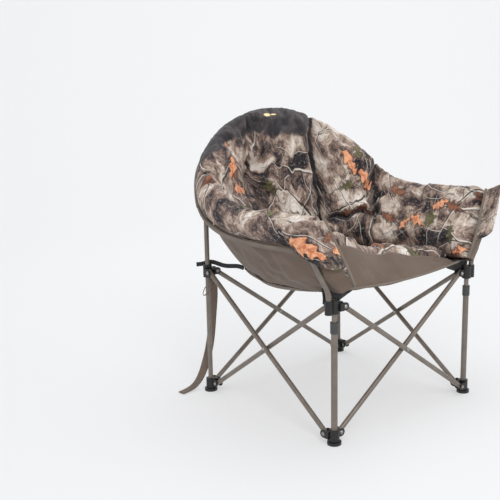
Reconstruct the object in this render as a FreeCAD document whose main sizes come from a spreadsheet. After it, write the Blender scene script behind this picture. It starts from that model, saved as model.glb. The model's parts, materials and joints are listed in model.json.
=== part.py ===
import FreeCAD, Part
import math
import os
import Sketcher
from FreeCAD import Placement, Rotation, Vector

# Folding padded camp chair: four legs joined by crossing links on all four sides, and a
# padded fabric bucket slung from the hubs, the two tall rear legs and the two arm posts.
# The sitter faces -Y, +Z is up, and the floor is z = 0. Right and left are the sitter's.

DIMENSIONS = [
    ("leg_spacing", 625, "leg axis to leg axis, across and front to back"),
    ("legs_back", -7, "how far the centre of the legs lies along Y from the origin"),
    ("foot_pivot", 30, "height of the lower link pivots"),
    ("hub_pivot", 430, "height of the upper link pivots, chair open"),
    ("pivot_offset", 28, "leg axis to link pivot"),
    ("link_plane", 8.5, "leg plane to the axis of each link of a crossing pair"),
    ("tube_diameter", 16, "links, rear legs and inner posts"),
    ("tube_wall", 1.2, "wall of every tube"),
    ("link_overhang", 9, "link end past its pivot"),
    ("front_leg_diameter", 20, "outer tube of the telescoping front legs"),
    ("front_leg_top", 366, "top of the front legs' outer tube"),
    ("rear_leg_top", 753, "top of the rear legs"),
    ("socket_floor", 8, "underside of a leg inside its foot"),
    ("foot_height", 45, "height of a foot's socket"),
    ("foot_radius", 16, "outside of a foot's socket"),
    ("foot_pad_radius", 22, "round pad that stands on the floor"),
    ("foot_pad_height", 9, "thickness of that pad"),
    ("clevis_root", 5.6, "leg axis to the buried end of a clevis"),
    ("clevis_bridge", 14, "leg axis to the front of the bridge between a clevis's ears"),
    ("hub_radius", 15, "outside of a hub's sleeve"),
    ("hub_low", 410, "underside of a hub's sleeve"),
    ("hub_height", 42, "height of a hub's sleeve"),
    ("ear_thickness", 4.5, "each ear of a clevis"),
    ("ear_radius", 12, "round end of an ear about its pivot"),
    ("ear_gap", 0.3, "side clearance between an ear and its link"),
    ("rivet_diameter", 6, "shank of every rivet"),
    ("rivet_head", 6.5, "radius of a rivet's head"),
    ("rivet_head_flat", 3.9, "radius of the flat on top of a rivet's head"),
    ("rivet_head_height", 2.4, "height of a rivet's head"),
    ("pin_clearance", 0.1, "radial play of a rivet in a link, and of a hub on its leg"),
    ("post_offset", 23, "leg axis to arm post, outboard"),
    ("post_diameter", 17, "arm post tube"),
    ("post_bend", 90, "bend radius of an arm post, on its axis"),
    ("post_seat", 6, "floor of an arm post's seat above its hub's underside"),
    ("boss_wall", 3.5, "wall of a front hub round its arm post"),
    ("inner_post_low", 45, "lower end of a front leg's inner post"),
    ("collar_radius", 12.5, "outside of the slip collar on a front leg"),
    ("collar_height", 34, "height of that collar"),
    ("collar_clearance", 0.3, "between the collar and the inner post"),
    ("pad_thickness", 40, "padded liner"),
    ("shell_thickness", 2.5, "outer fabric of the bucket"),
    ("layer_gap", 1.5, "between the liner and the outer fabric"),
    ("webbing_thickness", 2.5, "carry strap and corner webbings"),
    ("corner_webbing_width", 12, "corner webbings"),
    ("strap_width", 28, "carry strap"),
    ("binding_radius", 6, "rolled tape round the back's edge"),
    ("binding_gap", 3, "between the tape and the wall's crest"),
]

doc = FreeCAD.newDocument("CampChair")
sheet = doc.addObject("Spreadsheet::Sheet", "Dimensions")
for row, (alias, size, meaning) in enumerate(DIMENSIONS, start=1):
    sheet.set(f"A{row}", alias)
    sheet.set(f"B{row}", str(size))
    sheet.set(f"C{row}", meaning)
    sheet.setAlias(f"B{row}", alias)
doc.recompute()


def size_of(alias):
    """The value of one driving dimension, in millimetres."""
    return float(sheet.get(alias))


NODES = {}
HALF = size_of("leg_spacing") / 2
LEGS_Y = size_of("legs_back")
OFFSET = size_of("pivot_offset")
PLANE = size_of("link_plane")
FOOT_Z = size_of("foot_pivot")
HUB_Z = size_of("hub_pivot")
EAR_OUT = size_of("tube_diameter") / 2 + size_of("ear_gap") + size_of("ear_thickness")

# Each corner is the same pattern turned a quarter round, so one local frame serves them all:
# the previous corner lies along local +X and the next one along local -Y.
CORNERS = [
    ("rear_right", -HALF, HALF, 0),
    ("front_right", -HALF, -HALF, 90),
    ("front_left", HALF, -HALF, 180),
    ("rear_left", HALF, HALF, 270),
]


def corner_placement(corner):
    """Local corner frame to chair frame."""
    _, x, y, turn = corner
    return Placement(Vector(x, y + LEGS_Y, 0), Rotation(Vector(0, 0, 1), turn))


def keep(node, thing):
    """Registers a finished sub-part under the name of its node."""
    thing.Label = node
    NODES[node] = thing
    return thing


# --- Part design helpers ---------------------------------------------------------------------


def new_body(node):
    """An empty body for one sub-part."""
    return keep(node, doc.addObject("PartDesign::Body", node))


def sketch_on(body, role, offset=0.0):
    """A sketch on one of the body's own origin planes, moved along that plane's normal."""
    sketch = body.newObject("Sketcher::SketchObject", body.Name + "_sketch")
    plane = next(f for f in body.Origin.OriginFeatures if f.Role == role)
    sketch.AttachmentSupport = (plane, [""])
    sketch.MapMode = "FlatFace"
    sketch.AttachmentOffset = Placement(Vector(0, 0, offset), Rotation())
    return sketch


def add_circle(sketch, radius_rule, centre=(0, 0)):
    """A circle whose radius follows an expression on the sheet."""
    place = Vector(centre[0], centre[1], 0)
    index = sketch.addGeometry(Part.Circle(place, Vector(0, 0, 1), 1 + sketch.GeometryCount))
    number = sketch.addConstraint(Sketcher.Constraint("Radius", index, 1 + index))
    name = f"radius_{index}"
    sketch.renameConstraint(number, name)
    sketch.setExpression("Constraints." + name, radius_rule)
    return index


def add_outline(sketch, points):
    """A closed outline of straight edges."""
    ring = [Vector(x, y, 0) for x, y in points]
    for a, b in zip(ring, ring[1:] + ring[:1]):
        sketch.addGeometry(Part.LineSegment(a, b))


def pad(body, sketch, length_rule):
    """Pads a sketch along its normal by a length that follows the sheet."""
    feature = body.newObject("PartDesign::Pad", body.Name + "_pad")
    feature.Profile = sketch
    feature.setExpression("Length", length_rule)
    return feature


def pocket_through(body, sketch):
    """Cuts a sketch right through the body, both ways from its plane."""
    feature = body.newObject("PartDesign::Pocket", body.Name + "_pocket")
    feature.Profile = sketch
    feature.Type = "ThroughAll"
    feature.Midplane = True
    return feature


def pocket_down(body, sketch, depth_rule):
    """Cuts a sketch downwards by a depth that follows the sheet."""
    feature = body.newObject("PartDesign::Pocket", body.Name + "_pocket")
    feature.Profile = sketch
    feature.setExpression("Length", depth_rule)
    return feature


def tube_body(node, length_rule, radius_rule, placement):
    """A straight round tube along local Z, starting at its own origin."""
    body = new_body(node)
    sketch = sketch_on(body, "XY_Plane")
    add_circle(sketch, radius_rule)
    add_circle(sketch, radius_rule + " - Dimensions.tube_wall")
    pad(body, sketch, length_rule)
    body.Placement = placement
    return body


# --- Feet and hubs ---------------------------------------------------------------------------


def add_ear(body, role, near, sense, height, along):
    """One ear of a clevis, `near` its low face along the plane's normal, round about its pivot."""
    radius = size_of("ear_radius")
    root = along * size_of("clevis_root")
    tip = along * OFFSET
    sketch = sketch_on(body, role, near * sense)
    low = Vector(tip, height - radius, 0)
    end = Vector(tip + along * radius, height, 0)
    high = Vector(tip, height + radius, 0)
    root_low = Vector(root, height - radius, 0)
    root_high = Vector(root, height + radius, 0)
    sketch.addGeometry(Part.LineSegment(root_low, low))
    sketch.addGeometry(Part.Arc(low, end, high))
    sketch.addGeometry(Part.LineSegment(high, root_high))
    sketch.addGeometry(Part.LineSegment(root_high, root_low))
    feature = pad(body, sketch, "Dimensions.ear_thickness")
    feature.Reversed = sense < 0


def add_clevis(body, role, along, shift, height):
    """Two ears and the bridge behind them, for a link whose axis lies `shift` beside the leg plane."""
    sense = -1 if role == "XZ_Plane" else 1
    thick = size_of("ear_thickness")
    for near in (shift - EAR_OUT, shift + EAR_OUT - thick):
        add_ear(body, role, near, sense, height, along)
    inner, outer = sorted((along * size_of("clevis_root"), along * size_of("clevis_bridge")))
    side_low, side_high = shift - EAR_OUT, shift + EAR_OUT
    bridge = sketch_on(body, "XY_Plane", height - size_of("ear_radius"))
    if role == "XZ_Plane":
        corners = [(inner, side_low), (outer, side_low), (outer, side_high), (inner, side_high)]
    else:
        corners = [(side_low, inner), (side_high, inner), (side_high, outer), (side_low, outer)]
    add_outline(bridge, corners)
    pad(body, bridge, "2 * Dimensions.ear_radius")


def drill_rivet(body, role, along, height):
    """The rivet's hole through both ears of a clevis."""
    hole = sketch_on(body, role)
    add_circle(hole, "Dimensions.rivet_diameter / 2", (along * OFFSET, height))
    pocket_through(body, hole)


def make_foot(corner):
    """A moulded foot: floor pad, leg socket and two clevises for the lower ends of the links."""
    name = corner[0]
    body = new_body("foot_" + name)
    base = sketch_on(body, "XY_Plane")
    add_circle(base, "Dimensions.foot_pad_radius")
    pad(body, base, "Dimensions.foot_pad_height")
    sleeve = sketch_on(body, "XY_Plane")
    add_circle(sleeve, "Dimensions.foot_radius")
    pad(body, sleeve, "Dimensions.foot_height")
    add_clevis(body, "XZ_Plane", 1, PLANE, FOOT_Z)
    add_clevis(body, "YZ_Plane", -1, PLANE, FOOT_Z)
    drill_rivet(body, "XZ_Plane", 1, FOOT_Z)
    drill_rivet(body, "YZ_Plane", -1, FOOT_Z)
    socket = sketch_on(body, "XY_Plane", size_of("foot_height"))
    leg = "front_leg_diameter" if name.startswith("front") else "tube_diameter"
    add_circle(socket, f"Dimensions.{leg} / 2")
    pocket_down(body, socket, "Dimensions.foot_height - Dimensions.socket_floor")
    body.Placement = corner_placement(corner)


def post_direction(corner):
    """Local direction from the leg axis to the arm post, which stands outboard in chair X."""
    outboard = Vector(math.copysign(1, corner[1]), 0, 0)
    return Rotation(Vector(0, 0, 1), -corner[3]).multVec(outboard)


def make_hub(corner):
    """A moulded hub: sleeve on the leg and two clevises; a front hub also carries the arm post."""
    name = corner[0]
    body = new_body("hub_" + name)
    sleeve = sketch_on(body, "XY_Plane", size_of("hub_low"))
    add_circle(sleeve, "Dimensions.hub_radius")
    pad(body, sleeve, "Dimensions.hub_height")
    add_clevis(body, "XZ_Plane", 1, -PLANE, HUB_Z)
    add_clevis(body, "YZ_Plane", -1, -PLANE, HUB_Z)
    front = name.startswith("front")
    if front:
        way = post_direction(corner)
        post = way * size_of("post_offset")
        boss = sketch_on(body, "XY_Plane", size_of("hub_low"))
        add_circle(boss, "Dimensions.post_diameter / 2 + Dimensions.boss_wall", (post.x, post.y))
        pad(body, boss, "Dimensions.hub_height")
    drill_rivet(body, "XZ_Plane", 1, HUB_Z)
    drill_rivet(body, "YZ_Plane", -1, HUB_Z)
    bore = sketch_on(body, "XY_Plane", size_of("hub_low"))
    play = "" if front else " + Dimensions.pin_clearance"
    add_circle(bore, "Dimensions.tube_diameter / 2" + play)
    pocket_through(body, bore)
    if front:
        seat = sketch_on(body, "XY_Plane", size_of("hub_low") + size_of("hub_height"))
        add_circle(seat, "Dimensions.post_diameter / 2", (post.x, post.y))
        pocket_down(body, seat, "Dimensions.hub_height - Dimensions.post_seat")
    body.Placement = corner_placement(corner)


def rivet(name, centre, axis):
    """One rivet: a shank through a clevis or a crossing, and a flat-topped cone head at each end."""
    reach = EAR_OUT if not name.startswith("crossing") else 2 * PLANE
    turn = Rotation(Vector(0, 0, 1), axis)
    shank = doc.addObject("Part::Cylinder", name + "_shank")
    shank.setExpression("Radius", "Dimensions.rivet_diameter / 2")
    shank.Height = 2 * reach
    shank.Placement = Placement(centre - axis * reach, turn)
    heads = []
    for side in (-1, 1):
        head = doc.addObject("Part::Cone", name + "_head")
        head.setExpression("Radius1", "Dimensions.rivet_head")
        head.setExpression("Radius2", "Dimensions.rivet_head_flat")
        head.setExpression("Height", "Dimensions.rivet_head_height")
        outward = Rotation(Vector(0, 0, 1), axis * side)
        head.Placement = Placement(centre + axis * side * reach, outward)
        heads.append(head)
    whole = doc.addObject("Part::MultiFuse", name)
    whole.Shapes = [shank] + heads
    return whole


def make_rivet_pair(corner, kind, height, shift):
    """The two rivets of a foot or a hub, one node."""
    place = corner_placement(corner)
    spots = [
        (Vector(OFFSET, shift, height), Vector(0, 1, 0)),
        (Vector(shift, -OFFSET, height), Vector(1, 0, 0)),
    ]
    rivets = []
    for number, (spot, axis) in enumerate(spots):
        name = f"{kind}_rivet_{corner[0]}_{number}"
        rivets.append(rivet(name, place.multVec(spot), place.Rotation.multVec(axis)))
    group = doc.addObject("Part::Compound", f"{kind}_rivets_{corner[0]}")
    group.Links = rivets
    keep(f"{kind}_rivets_{corner[0]}", group)


# --- Links, legs and posts -------------------------------------------------------------------

SIDES = ["right", "front", "left", "rear"]
LINK_LENGTH = math.hypot(size_of("leg_spacing") - 2 * OFFSET, HUB_Z - FOOT_Z)


def make_link(node, start, end, normal):
    """One link tube from pivot to pivot, drilled at both ends and at the crossing."""
    along = (end - start).normalize()
    overhang = size_of("link_overhang")
    facing = Rotation(normal.cross(along), normal, along, "ZXY")
    placement = Placement(start - along * overhang, facing)
    span = "sqrt((Dimensions.leg_spacing - 2 * Dimensions.pivot_offset)^2"
    span += " + (Dimensions.hub_pivot - Dimensions.foot_pivot)^2)"
    length = span + " + 2 * Dimensions.link_overhang"
    body = tube_body(node, length, "Dimensions.tube_diameter / 2", placement)
    holes = sketch_on(body, "XZ_Plane")
    for share in (0.0, 0.5, 1.0):
        rule = "Dimensions.rivet_diameter / 2 + Dimensions.pin_clearance"
        add_circle(holes, rule, (0, overhang + share * LINK_LENGTH))
    pocket_through(body, holes)


def make_side(number):
    """The crossing pair of one side: the inner link runs foot to next hub, the outer hub to next foot."""
    here, beyond = CORNERS[number], CORNERS[(number + 1) % 4]
    near, far = corner_placement(here), corner_placement(beyond)
    normal = near.Rotation.multVec(Vector(1, 0, 0))
    inner_start = near.multVec(Vector(PLANE, -OFFSET, FOOT_Z))
    inner_end = far.multVec(Vector(OFFSET, -PLANE, HUB_Z))
    make_link(f"link_inner_{SIDES[number]}", inner_start, inner_end, normal)
    outer_start = far.multVec(Vector(OFFSET, PLANE, FOOT_Z))
    outer_end = near.multVec(Vector(-PLANE, -OFFSET, HUB_Z))
    make_link(f"link_outer_{SIDES[number]}", outer_start, outer_end, normal)
    middle = (inner_start + inner_end + outer_start + outer_end) * 0.25
    keep(f"crossing_rivet_{SIDES[number]}", rivet(f"crossing_{SIDES[number]}", middle, normal))


def make_leg(corner):
    """A rear leg is one tall tube; a front leg is an outer tube, a slip collar and an inner post."""
    name, x, y, _ = corner
    floor = size_of("socket_floor")
    base = Placement(Vector(x, y + LEGS_Y, floor), Rotation())
    if name.startswith("rear"):
        rule = "Dimensions.rear_leg_top - Dimensions.socket_floor"
        tube_body("leg_" + name, rule, "Dimensions.tube_diameter / 2", base)
        return
    rule = "Dimensions.front_leg_top - Dimensions.socket_floor"
    tube_body("leg_" + name, rule, "Dimensions.front_leg_diameter / 2", base)
    low = Placement(Vector(x, y + LEGS_Y, size_of("inner_post_low")), Rotation())
    rule = "Dimensions.hub_low + Dimensions.hub_height - Dimensions.inner_post_low"
    tube_body("inner_post_" + name, rule, "Dimensions.tube_diameter / 2", low)
    collar = new_body("collar_" + name)
    ring = sketch_on(collar, "XY_Plane")
    add_circle(ring, "Dimensions.collar_radius")
    add_circle(ring, "Dimensions.tube_diameter / 2 + Dimensions.collar_clearance")
    pad(collar, ring, "Dimensions.collar_height")
    cup = sketch_on(collar, "XY_Plane")
    add_circle(cup, "Dimensions.front_leg_diameter / 2")
    cut = pocket_down(collar, cup, "Dimensions.collar_height / 2")
    cut.Reversed = True
    top = size_of("front_leg_top") - size_of("collar_height") / 2
    collar.Placement = Placement(Vector(x, y + LEGS_Y, top), Rotation())


def swept_tube(path_points, bend_radius, outer, inner):
    """A round tube along straight runs with one bend radius at every corner."""
    path = rounded_path(path_points, bend_radius)
    start = path_points[0]
    heading = (path_points[1] - path_points[0]).normalize()
    rings = [Part.Wire(Part.makeCircle(r, start, heading)) for r in (outer, inner)]
    solids = [path.makePipeShell([ring], True, False) for ring in rings]
    return solids[0].cut(solids[1])


def rounded_path(points, radius):
    """Straight runs joined by tangent arcs, as one wire. `radius` is a number, or one per corner."""
    edges = []
    start = points[0]
    for number in range(1, len(points) - 1):
        before, corner, after = points[number - 1], points[number], points[number + 1]
        into = (corner - before).normalize()
        out = (after - corner).normalize()
        turn = into.getAngle(out)
        this = radius[number - 1] if isinstance(radius, list) else radius
        reach = this * math.tan(turn / 2)
        enter, leave = corner - into * reach, corner + out * reach
        bisector = (out - into).normalize()
        middle = corner + bisector * this * (1 / math.cos(turn / 2) - 1)
        edges.append(Part.LineSegment(start, enter).toShape())
        edges.append(Part.Arc(enter, middle, leave).toShape())
        start = leave
    edges.append(Part.LineSegment(start, points[-1]).toShape())
    return Part.Wire(edges)


# The arm post's corners above its hub: distance from the middle of the chair, and height.
POST_CORNERS = [(335.5, 476), (403, 588), (453, 692)]


def make_arm_post(corner):
    """The bent post of an arm: upright in its hub, then leaning outboard to the pocket."""
    name, x, y, _ = corner
    out = math.copysign(1, x)
    foot = size_of("hub_low") + size_of("post_seat")
    points = [Vector(x + out * size_of("post_offset"), y + LEGS_Y, foot)]
    points += [Vector(out * across, y + LEGS_Y, height) for across, height in POST_CORNERS]
    radius = size_of("post_diameter") / 2
    post = doc.addObject("Part::Feature", "arm_post_" + name)
    post.Shape = swept_tube(points, size_of("post_bend"), radius, radius - size_of("tube_wall"))
    keep("arm_post_" + name, post)


# --- The fabric bucket -----------------------------------------------------------------------
# The bucket's wall runs round the sitter from the back's centre to the front of each arm. At
# each station it stands on a foot point at the seat's edge and rises to a crest on the rim.
# Points are for the sitter's left, with the centre of the legs at the origin.

WALL_FOOT = [
    (0, 236, 452),
    (110, 233, 452),
    (180, 216, 455),
    (226, 182, 459),
    (249, 122, 464),
    (259, 50, 467),
    (264, -40, 470),
    (267, -150, 474),
    (269, -260, 484),
    (270, -338, 494),
]
WALL_CREST = [
    (0, 346, 958),
    (105, 343, 946),
    (198, 330, 912),
    (287, 296, 862),
    (362, 250, 802),
    (396, 184, 742),
    (404, 76, 700),
    (402, -60, 691),
    (396, -200, 696),
    (381, -318, 702),
]
WALL_BULGE = 13
BACK_PAD_END = 1.42
WING_START = 1.5
BACK_SHELL_END = 4.72
ARM_START = 4.8
ARM_END = 9.0
SEAT_REAR = 214
SEAT_SPLIT = -20
SEAT_INSET = 4


def spline_through(points):
    """An interpolating curve whose parameter is the number of the station."""
    curve = Part.BSplineCurve()
    vectors = [Vector(*p) for p in points]
    curve.interpolate(Points=vectors, Parameters=[float(n) for n in range(len(points))])
    return curve


FOOT_CURVE = spline_through([(-x, y, z) for x, y, z in WALL_FOOT[:0:-1]] + WALL_FOOT)
CREST_CURVE = spline_through([(-x, y, z) for x, y, z in WALL_CREST[:0:-1]] + WALL_CREST)
MIDDLE = len(WALL_FOOT) - 1


def wall_surface(station, rise):
    """A point of the liner's inner face; station 0 is the back's centre, rise 0 its foot, 1 its crest."""
    low = FOOT_CURVE.value(MIDDLE + station)
    high = CREST_CURVE.value(MIDDLE + station)
    return low + (high - low) * rise


def outward(station, rise):
    """The wall's normal, away from the sitter."""
    step = 0.02
    here = max(step - MIDDLE, min(MIDDLE - step, station))
    across = wall_surface(here + step, rise) - wall_surface(here - step, rise)
    up = wall_surface(station, 1) - wall_surface(station, 0)
    return up.cross(across).normalize()


def wall_point(station, rise, depth):
    """A point `depth` behind the liner's face, with the wall's outward bulge."""
    bulge = WALL_BULGE * 4 * rise * (1 - rise)
    point = wall_surface(station, rise) + outward(station, rise) * (depth + bulge)
    return point + Vector(0, LEGS_Y, 0)


def steps(first, last, count):
    """Evenly spaced numbers, both ends included."""
    return [first + (last - first) * n / (count - 1) for n in range(count)]


def quilt(near_grid, far_grid):
    """A closed solid between two smooth faces, each through a grid of points, with ruled edges."""
    near, far = Part.BSplineSurface(), Part.BSplineSurface()
    near.interpolate(near_grid)
    far.interpolate(far_grid)
    faces = [near.toShape(), far.toShape()]
    near_ends, far_ends = near.bounds(), far.bounds()
    for number in range(4):
        iso = "uIso" if number < 2 else "vIso"
        near_edge = getattr(near, iso)(near_ends[number]).toShape()
        far_edge = getattr(far, iso)(far_ends[number]).toShape()
        faces.append(Part.makeRuledSurface(near_edge, far_edge))
    shell = Part.Shell(faces)
    shell.sewShape()
    solid = Part.Solid(Part.Shell(shell.Faces))
    if solid.Volume < 0:
        solid.reverse()
    return solid


def ring_loft(rings):
    """A closed solid through flat closed rings of points, with straight lines from ring to ring."""
    wires = [Part.makePolygon(ring + ring[:1]) for ring in rings]
    return Part.makeLoft(wires, True, True)


def wall_slab(stations, rises, front, back):
    """A slab of the wall between two depths, each a function of station and rise."""
    near = [[wall_point(s, r, front(s, r)) for r in rises] for s in stations]
    far = [[wall_point(s, r, back(s, r)) for r in rises] for s in stations]
    return quilt(near, far)


# The liner's thickness at the wall's edges, as a share of its full thickness, and the stations
# over which it changes from the back's to the arms'.
BACK_EDGE_SHARE = 0.45
ARM_EDGE_SHARE = 0.9
THICKER_FROM = 4.0
THICKER_OVER = 1.5


def pad_depth(station, rise):
    """The liner thins towards the back's upper edge and stays full along the arms."""
    arm_share = min(1.0, max(0.0, (abs(station) - THICKER_FROM) / THICKER_OVER))
    edge = BACK_EDGE_SHARE + (ARM_EDGE_SHARE - BACK_EDGE_SHARE) * arm_share
    return size_of("pad_thickness") * (edge + (1 - edge) * (1 - abs(2 * rise - 1) ** 3))


def shell_near(station, rise):
    """Inner face of the outer fabric."""
    return pad_depth(station, rise) + size_of("layer_gap")


def shell_far(station, rise):
    """Outer face of the outer fabric."""
    return shell_near(station, rise) + size_of("shell_thickness")


def liner_face(station, rise):
    """The liner's own face is the wall's reference surface."""
    return 0.0


def make_wall(node, first, last, count, near, far, rises):
    """One panel of the wall, as a closed slab."""
    panel = doc.addObject("Part::Feature", node)
    panel.Shape = wall_slab(steps(first, last, count), rises, near, far)
    keep(node, panel)


def seat_half_width(y):
    """Half the seat's width at a distance along Y from the centre of the legs."""
    foot = FOOT_CURVE
    low, high = MIDDLE + 0.0, MIDDLE + float(MIDDLE)
    for _ in range(40):
        middle = (low + high) / 2
        if foot.value(middle).y > y:
            low = middle
        else:
            high = middle
    return foot.value(low).x


# The seat is a dish. `low` is its lowest height; it rises by `sides` at `half` its width, by `front`
# at `reach` ahead of where the rise starts (less `ends` at the sides), and by `rear` at its rear edge.
SEAT_FACE = {
    "low": 430,
    "sides": 24,
    "half": 255,
    "front": 112,
    "ends": 58,
    "reach": 275,
    "power": 2,
    "rear": 16,
}
SEAT_SKIN = {
    "low": 383,
    "sides": 34,
    "half": 300,
    "front": 76,
    "ends": 14,
    "reach": 350,
    "power": 1.4,
    "rear": 22,
}
FRONT_RISE_START = 40
REAR_RISE_START = 60
REAR_RISE_REACH = 160


def dish(form, x, y):
    """Height of one of the seat's two dished faces."""
    across = min(1, abs(x) / form["half"]) ** 2
    ahead = min(1, max(0, FRONT_RISE_START - y) / form["reach"]) ** form["power"]
    behind = (max(0, y - REAR_RISE_START) / REAR_RISE_REACH) ** 2
    crest = form["front"] - form["ends"] * across
    return form["low"] + form["sides"] * across + crest * ahead + form["rear"] * behind


def seat_top(x, y):
    """Height of the seat's padded face: hollow in the middle and crested behind its front edge."""
    return dish(SEAT_FACE, x, y)


def seat_under(x, y):
    """Height of the outer fabric under the seat."""
    return dish(SEAT_SKIN, x, y)


def seat_slab(rows, high, low):
    """A slab of the seat between two heights, row by row along Y."""
    near, far = [], []
    for y in rows:
        half = seat_half_width(y) - SEAT_INSET
        across = steps(-half, half, 9)
        near.append([Vector(x, y + LEGS_Y, high(x, y)) for x in across])
        far.append([Vector(x, y + LEGS_Y, low(x, y)) for x in across])
    return quilt(near, far)


def make_seat(node, rows, high, low):
    """One half of the seat's pad or outer fabric."""
    half = doc.addObject("Part::Feature", node)
    half.Shape = seat_slab(rows, high, low)
    keep(node, half)


def seat_skin_top(x, y):
    """Upper face of the outer fabric under the seat."""
    return seat_under(x, y) + size_of("shell_thickness")


def pad_under(x, y):
    """Underside of the seat pad, just clear of the outer fabric."""
    return seat_skin_top(x, y) + size_of("layer_gap")


# The apron: half its width, its hem and its upper edge as (along Y, height) in the middle, and what
# those change by at its ends.
APRON_HALF = 262
APRON_HEM, APRON_HEM_ENDS = (-312, 461), (0, 16)
APRON_TOP, APRON_TOP_ENDS = (-246, 538), (-30, -34)


def make_apron():
    """The outer fabric's front face, from the hem up to the pad's front edge."""
    near, far = [], []
    for x in steps(-APRON_HALF, APRON_HALF, 9):
        share = (x / APRON_HALF) ** 2
        hem_y, hem_z = (middle + end * share for middle, end in zip(APRON_HEM, APRON_HEM_ENDS))
        top_y, top_z = (middle + end * share for middle, end in zip(APRON_TOP, APRON_TOP_ENDS))
        hem = Vector(x, hem_y + LEGS_Y, hem_z)
        crest = Vector(x, top_y + LEGS_Y, top_z)
        rise = crest - hem
        lift = Vector(1, 0, 0).cross(rise).normalize() * size_of("shell_thickness")
        near.append([hem + rise * way for way in (0, 0.5, 1)])
        far.append([hem + rise * way + lift for way in (0, 0.5, 1)])
    apron = doc.addObject("Part::Feature", "apron")
    apron.Shape = quilt(near, far)
    keep("apron", apron)


# The flap over an arm's front end, which holds the top of the arm post: three levels, each
# running from the arm's inner piping round its outer corner to the flap's rear edge.
POCKET_LEVELS = [
    [(374, -334, 694), (422, -340, 702), (459, -331, 704), (467, -298, 688), (466, -266, 660)],
    [(336, -342, 622), (384, -348, 626), (424, -343, 630), (444, -320, 630), (450, -284, 626)],
    [(298, -350, 548), (345, -355, 550), (391, -350, 553), (410, -332, 556), (416, -308, 564)],
]


POCKET_CENTRE = (20, -280)


def make_pocket(side, out):
    """The curved flap of one arm: its thickness lies away from a line inside the arm's end."""
    near, far = [], []
    for level in POCKET_LEVELS:
        middle = Vector(level[0][0] + POCKET_CENTRE[0], POCKET_CENTRE[1], level[0][2])
        inside = [Vector(*p) for p in level]
        outside = []
        for point in inside:
            away = point - middle
            away.z = 0
            outside.append(point + away.normalize() * size_of("shell_thickness"))
        near.append([Vector(p.x * out, p.y + LEGS_Y, p.z) for p in inside])
        far.append([Vector(p.x * out, p.y + LEGS_Y, p.z) for p in outside])
    flap = doc.addObject("Part::Feature", "pocket_" + side)
    flap.Shape = quilt(near, far)
    keep("pocket_" + side, flap)


# How deep in the liner's edge the tape lies, as a share of the liner's thickness there.
BINDING_DEPTH = 0.6


def make_binding():
    """The rolled tape along the back's upper edge, wing to wing."""
    radius = size_of("binding_radius")
    clear = radius + size_of("binding_gap")
    line = []
    for station in steps(-BACK_SHELL_END, BACK_SHELL_END, 15):
        edge = wall_point(station, 1.0, pad_depth(station, 1.0) * BINDING_DEPTH)
        rise = (wall_surface(station, 1) - wall_surface(station, 0)).normalize()
        line.append(edge + rise * clear)
    spine = Part.BSplineCurve()
    spine.interpolate(Points=line)
    start = spine.tangent(spine.FirstParameter)[0]
    ring = Part.Wire(Part.makeCircle(radius, line[0], start))
    binding = doc.addObject("Part::Feature", "binding_back")
    binding.Shape = Part.Wire(spine.toShape()).makePipeShell([ring], True, False)
    keep("binding_back", binding)


# --- Webbings and the carry strap ------------------------------------------------------------


def flat_plate(node, outline, thickness_vector):
    """A flat piece of webbing cut to an outline."""
    face = Part.Face(Part.makePolygon(outline + outline[:1]))
    plate = doc.addObject("Part::Feature", node)
    plate.Shape = face.extrude(thickness_vector)
    keep(node, plate)


# The gusset's outline: distance from the middle of the chair, and height.
GUSSET_OUTLINE = [(318, 454), (226, 463), (262, 450), (292, 444), (297, 453.5)]
GUSSET_BEHIND_LEGS = 9


def make_gusset(side, out):
    """The black gusset from a front hub up to the seat's front corner."""
    y = -HALF + GUSSET_BEHIND_LEGS + LEGS_Y
    outline = [Vector(out * x, y, z) for x, z in GUSSET_OUTLINE]
    flat_plate(f"gusset_{side}", outline, Vector(0, size_of("webbing_thickness"), 0))


# The corner webbing's lower edge, from its tail behind a rear hub to the seat's rear corner.
CORNER_WEBBING = [
    (312, 340, 444),
    (300, 326, 453),
    (290, 300, 452),
    (268, 272, 449),
    (246, 236, 440),
    (232, 214, 436),
]


def make_corner_webbing(side, out):
    """The wavy webbing from a rear hub forward and inward to the seat's rear corner."""
    rings = []
    for x, y, z in CORNER_WEBBING:
        base = Vector(out * x, y + LEGS_Y, z)
        side_step = Vector(out * size_of("webbing_thickness"), 0, 0)
        up = Vector(0, 0, size_of("corner_webbing_width"))
        rings.append([base, base + side_step, base + side_step + up, base + up])
    webbing = doc.addObject("Part::Feature", f"corner_webbing_{side}")
    webbing.Shape = ring_loft(rings)
    keep(f"corner_webbing_{side}", webbing)


# The carry strap hangs from the rear right leg, just under its hub, and curls out on the floor.
STRAP_ROUTE = [
    (-280, 328, 400),
    (-272, 334, 350),
    (-273, 339, 300),
    (-277, 342, 250),
    (-281, 344, 200),
    (-289, 345, 152),
    (-303, 346, 104),
    (-319, 348, 60),
    (-341, 353, 22),
    (-372, 356, 4),
    (-412, 352, 3),
]
STRAP_BEND_SHARE = 0.45


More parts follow.
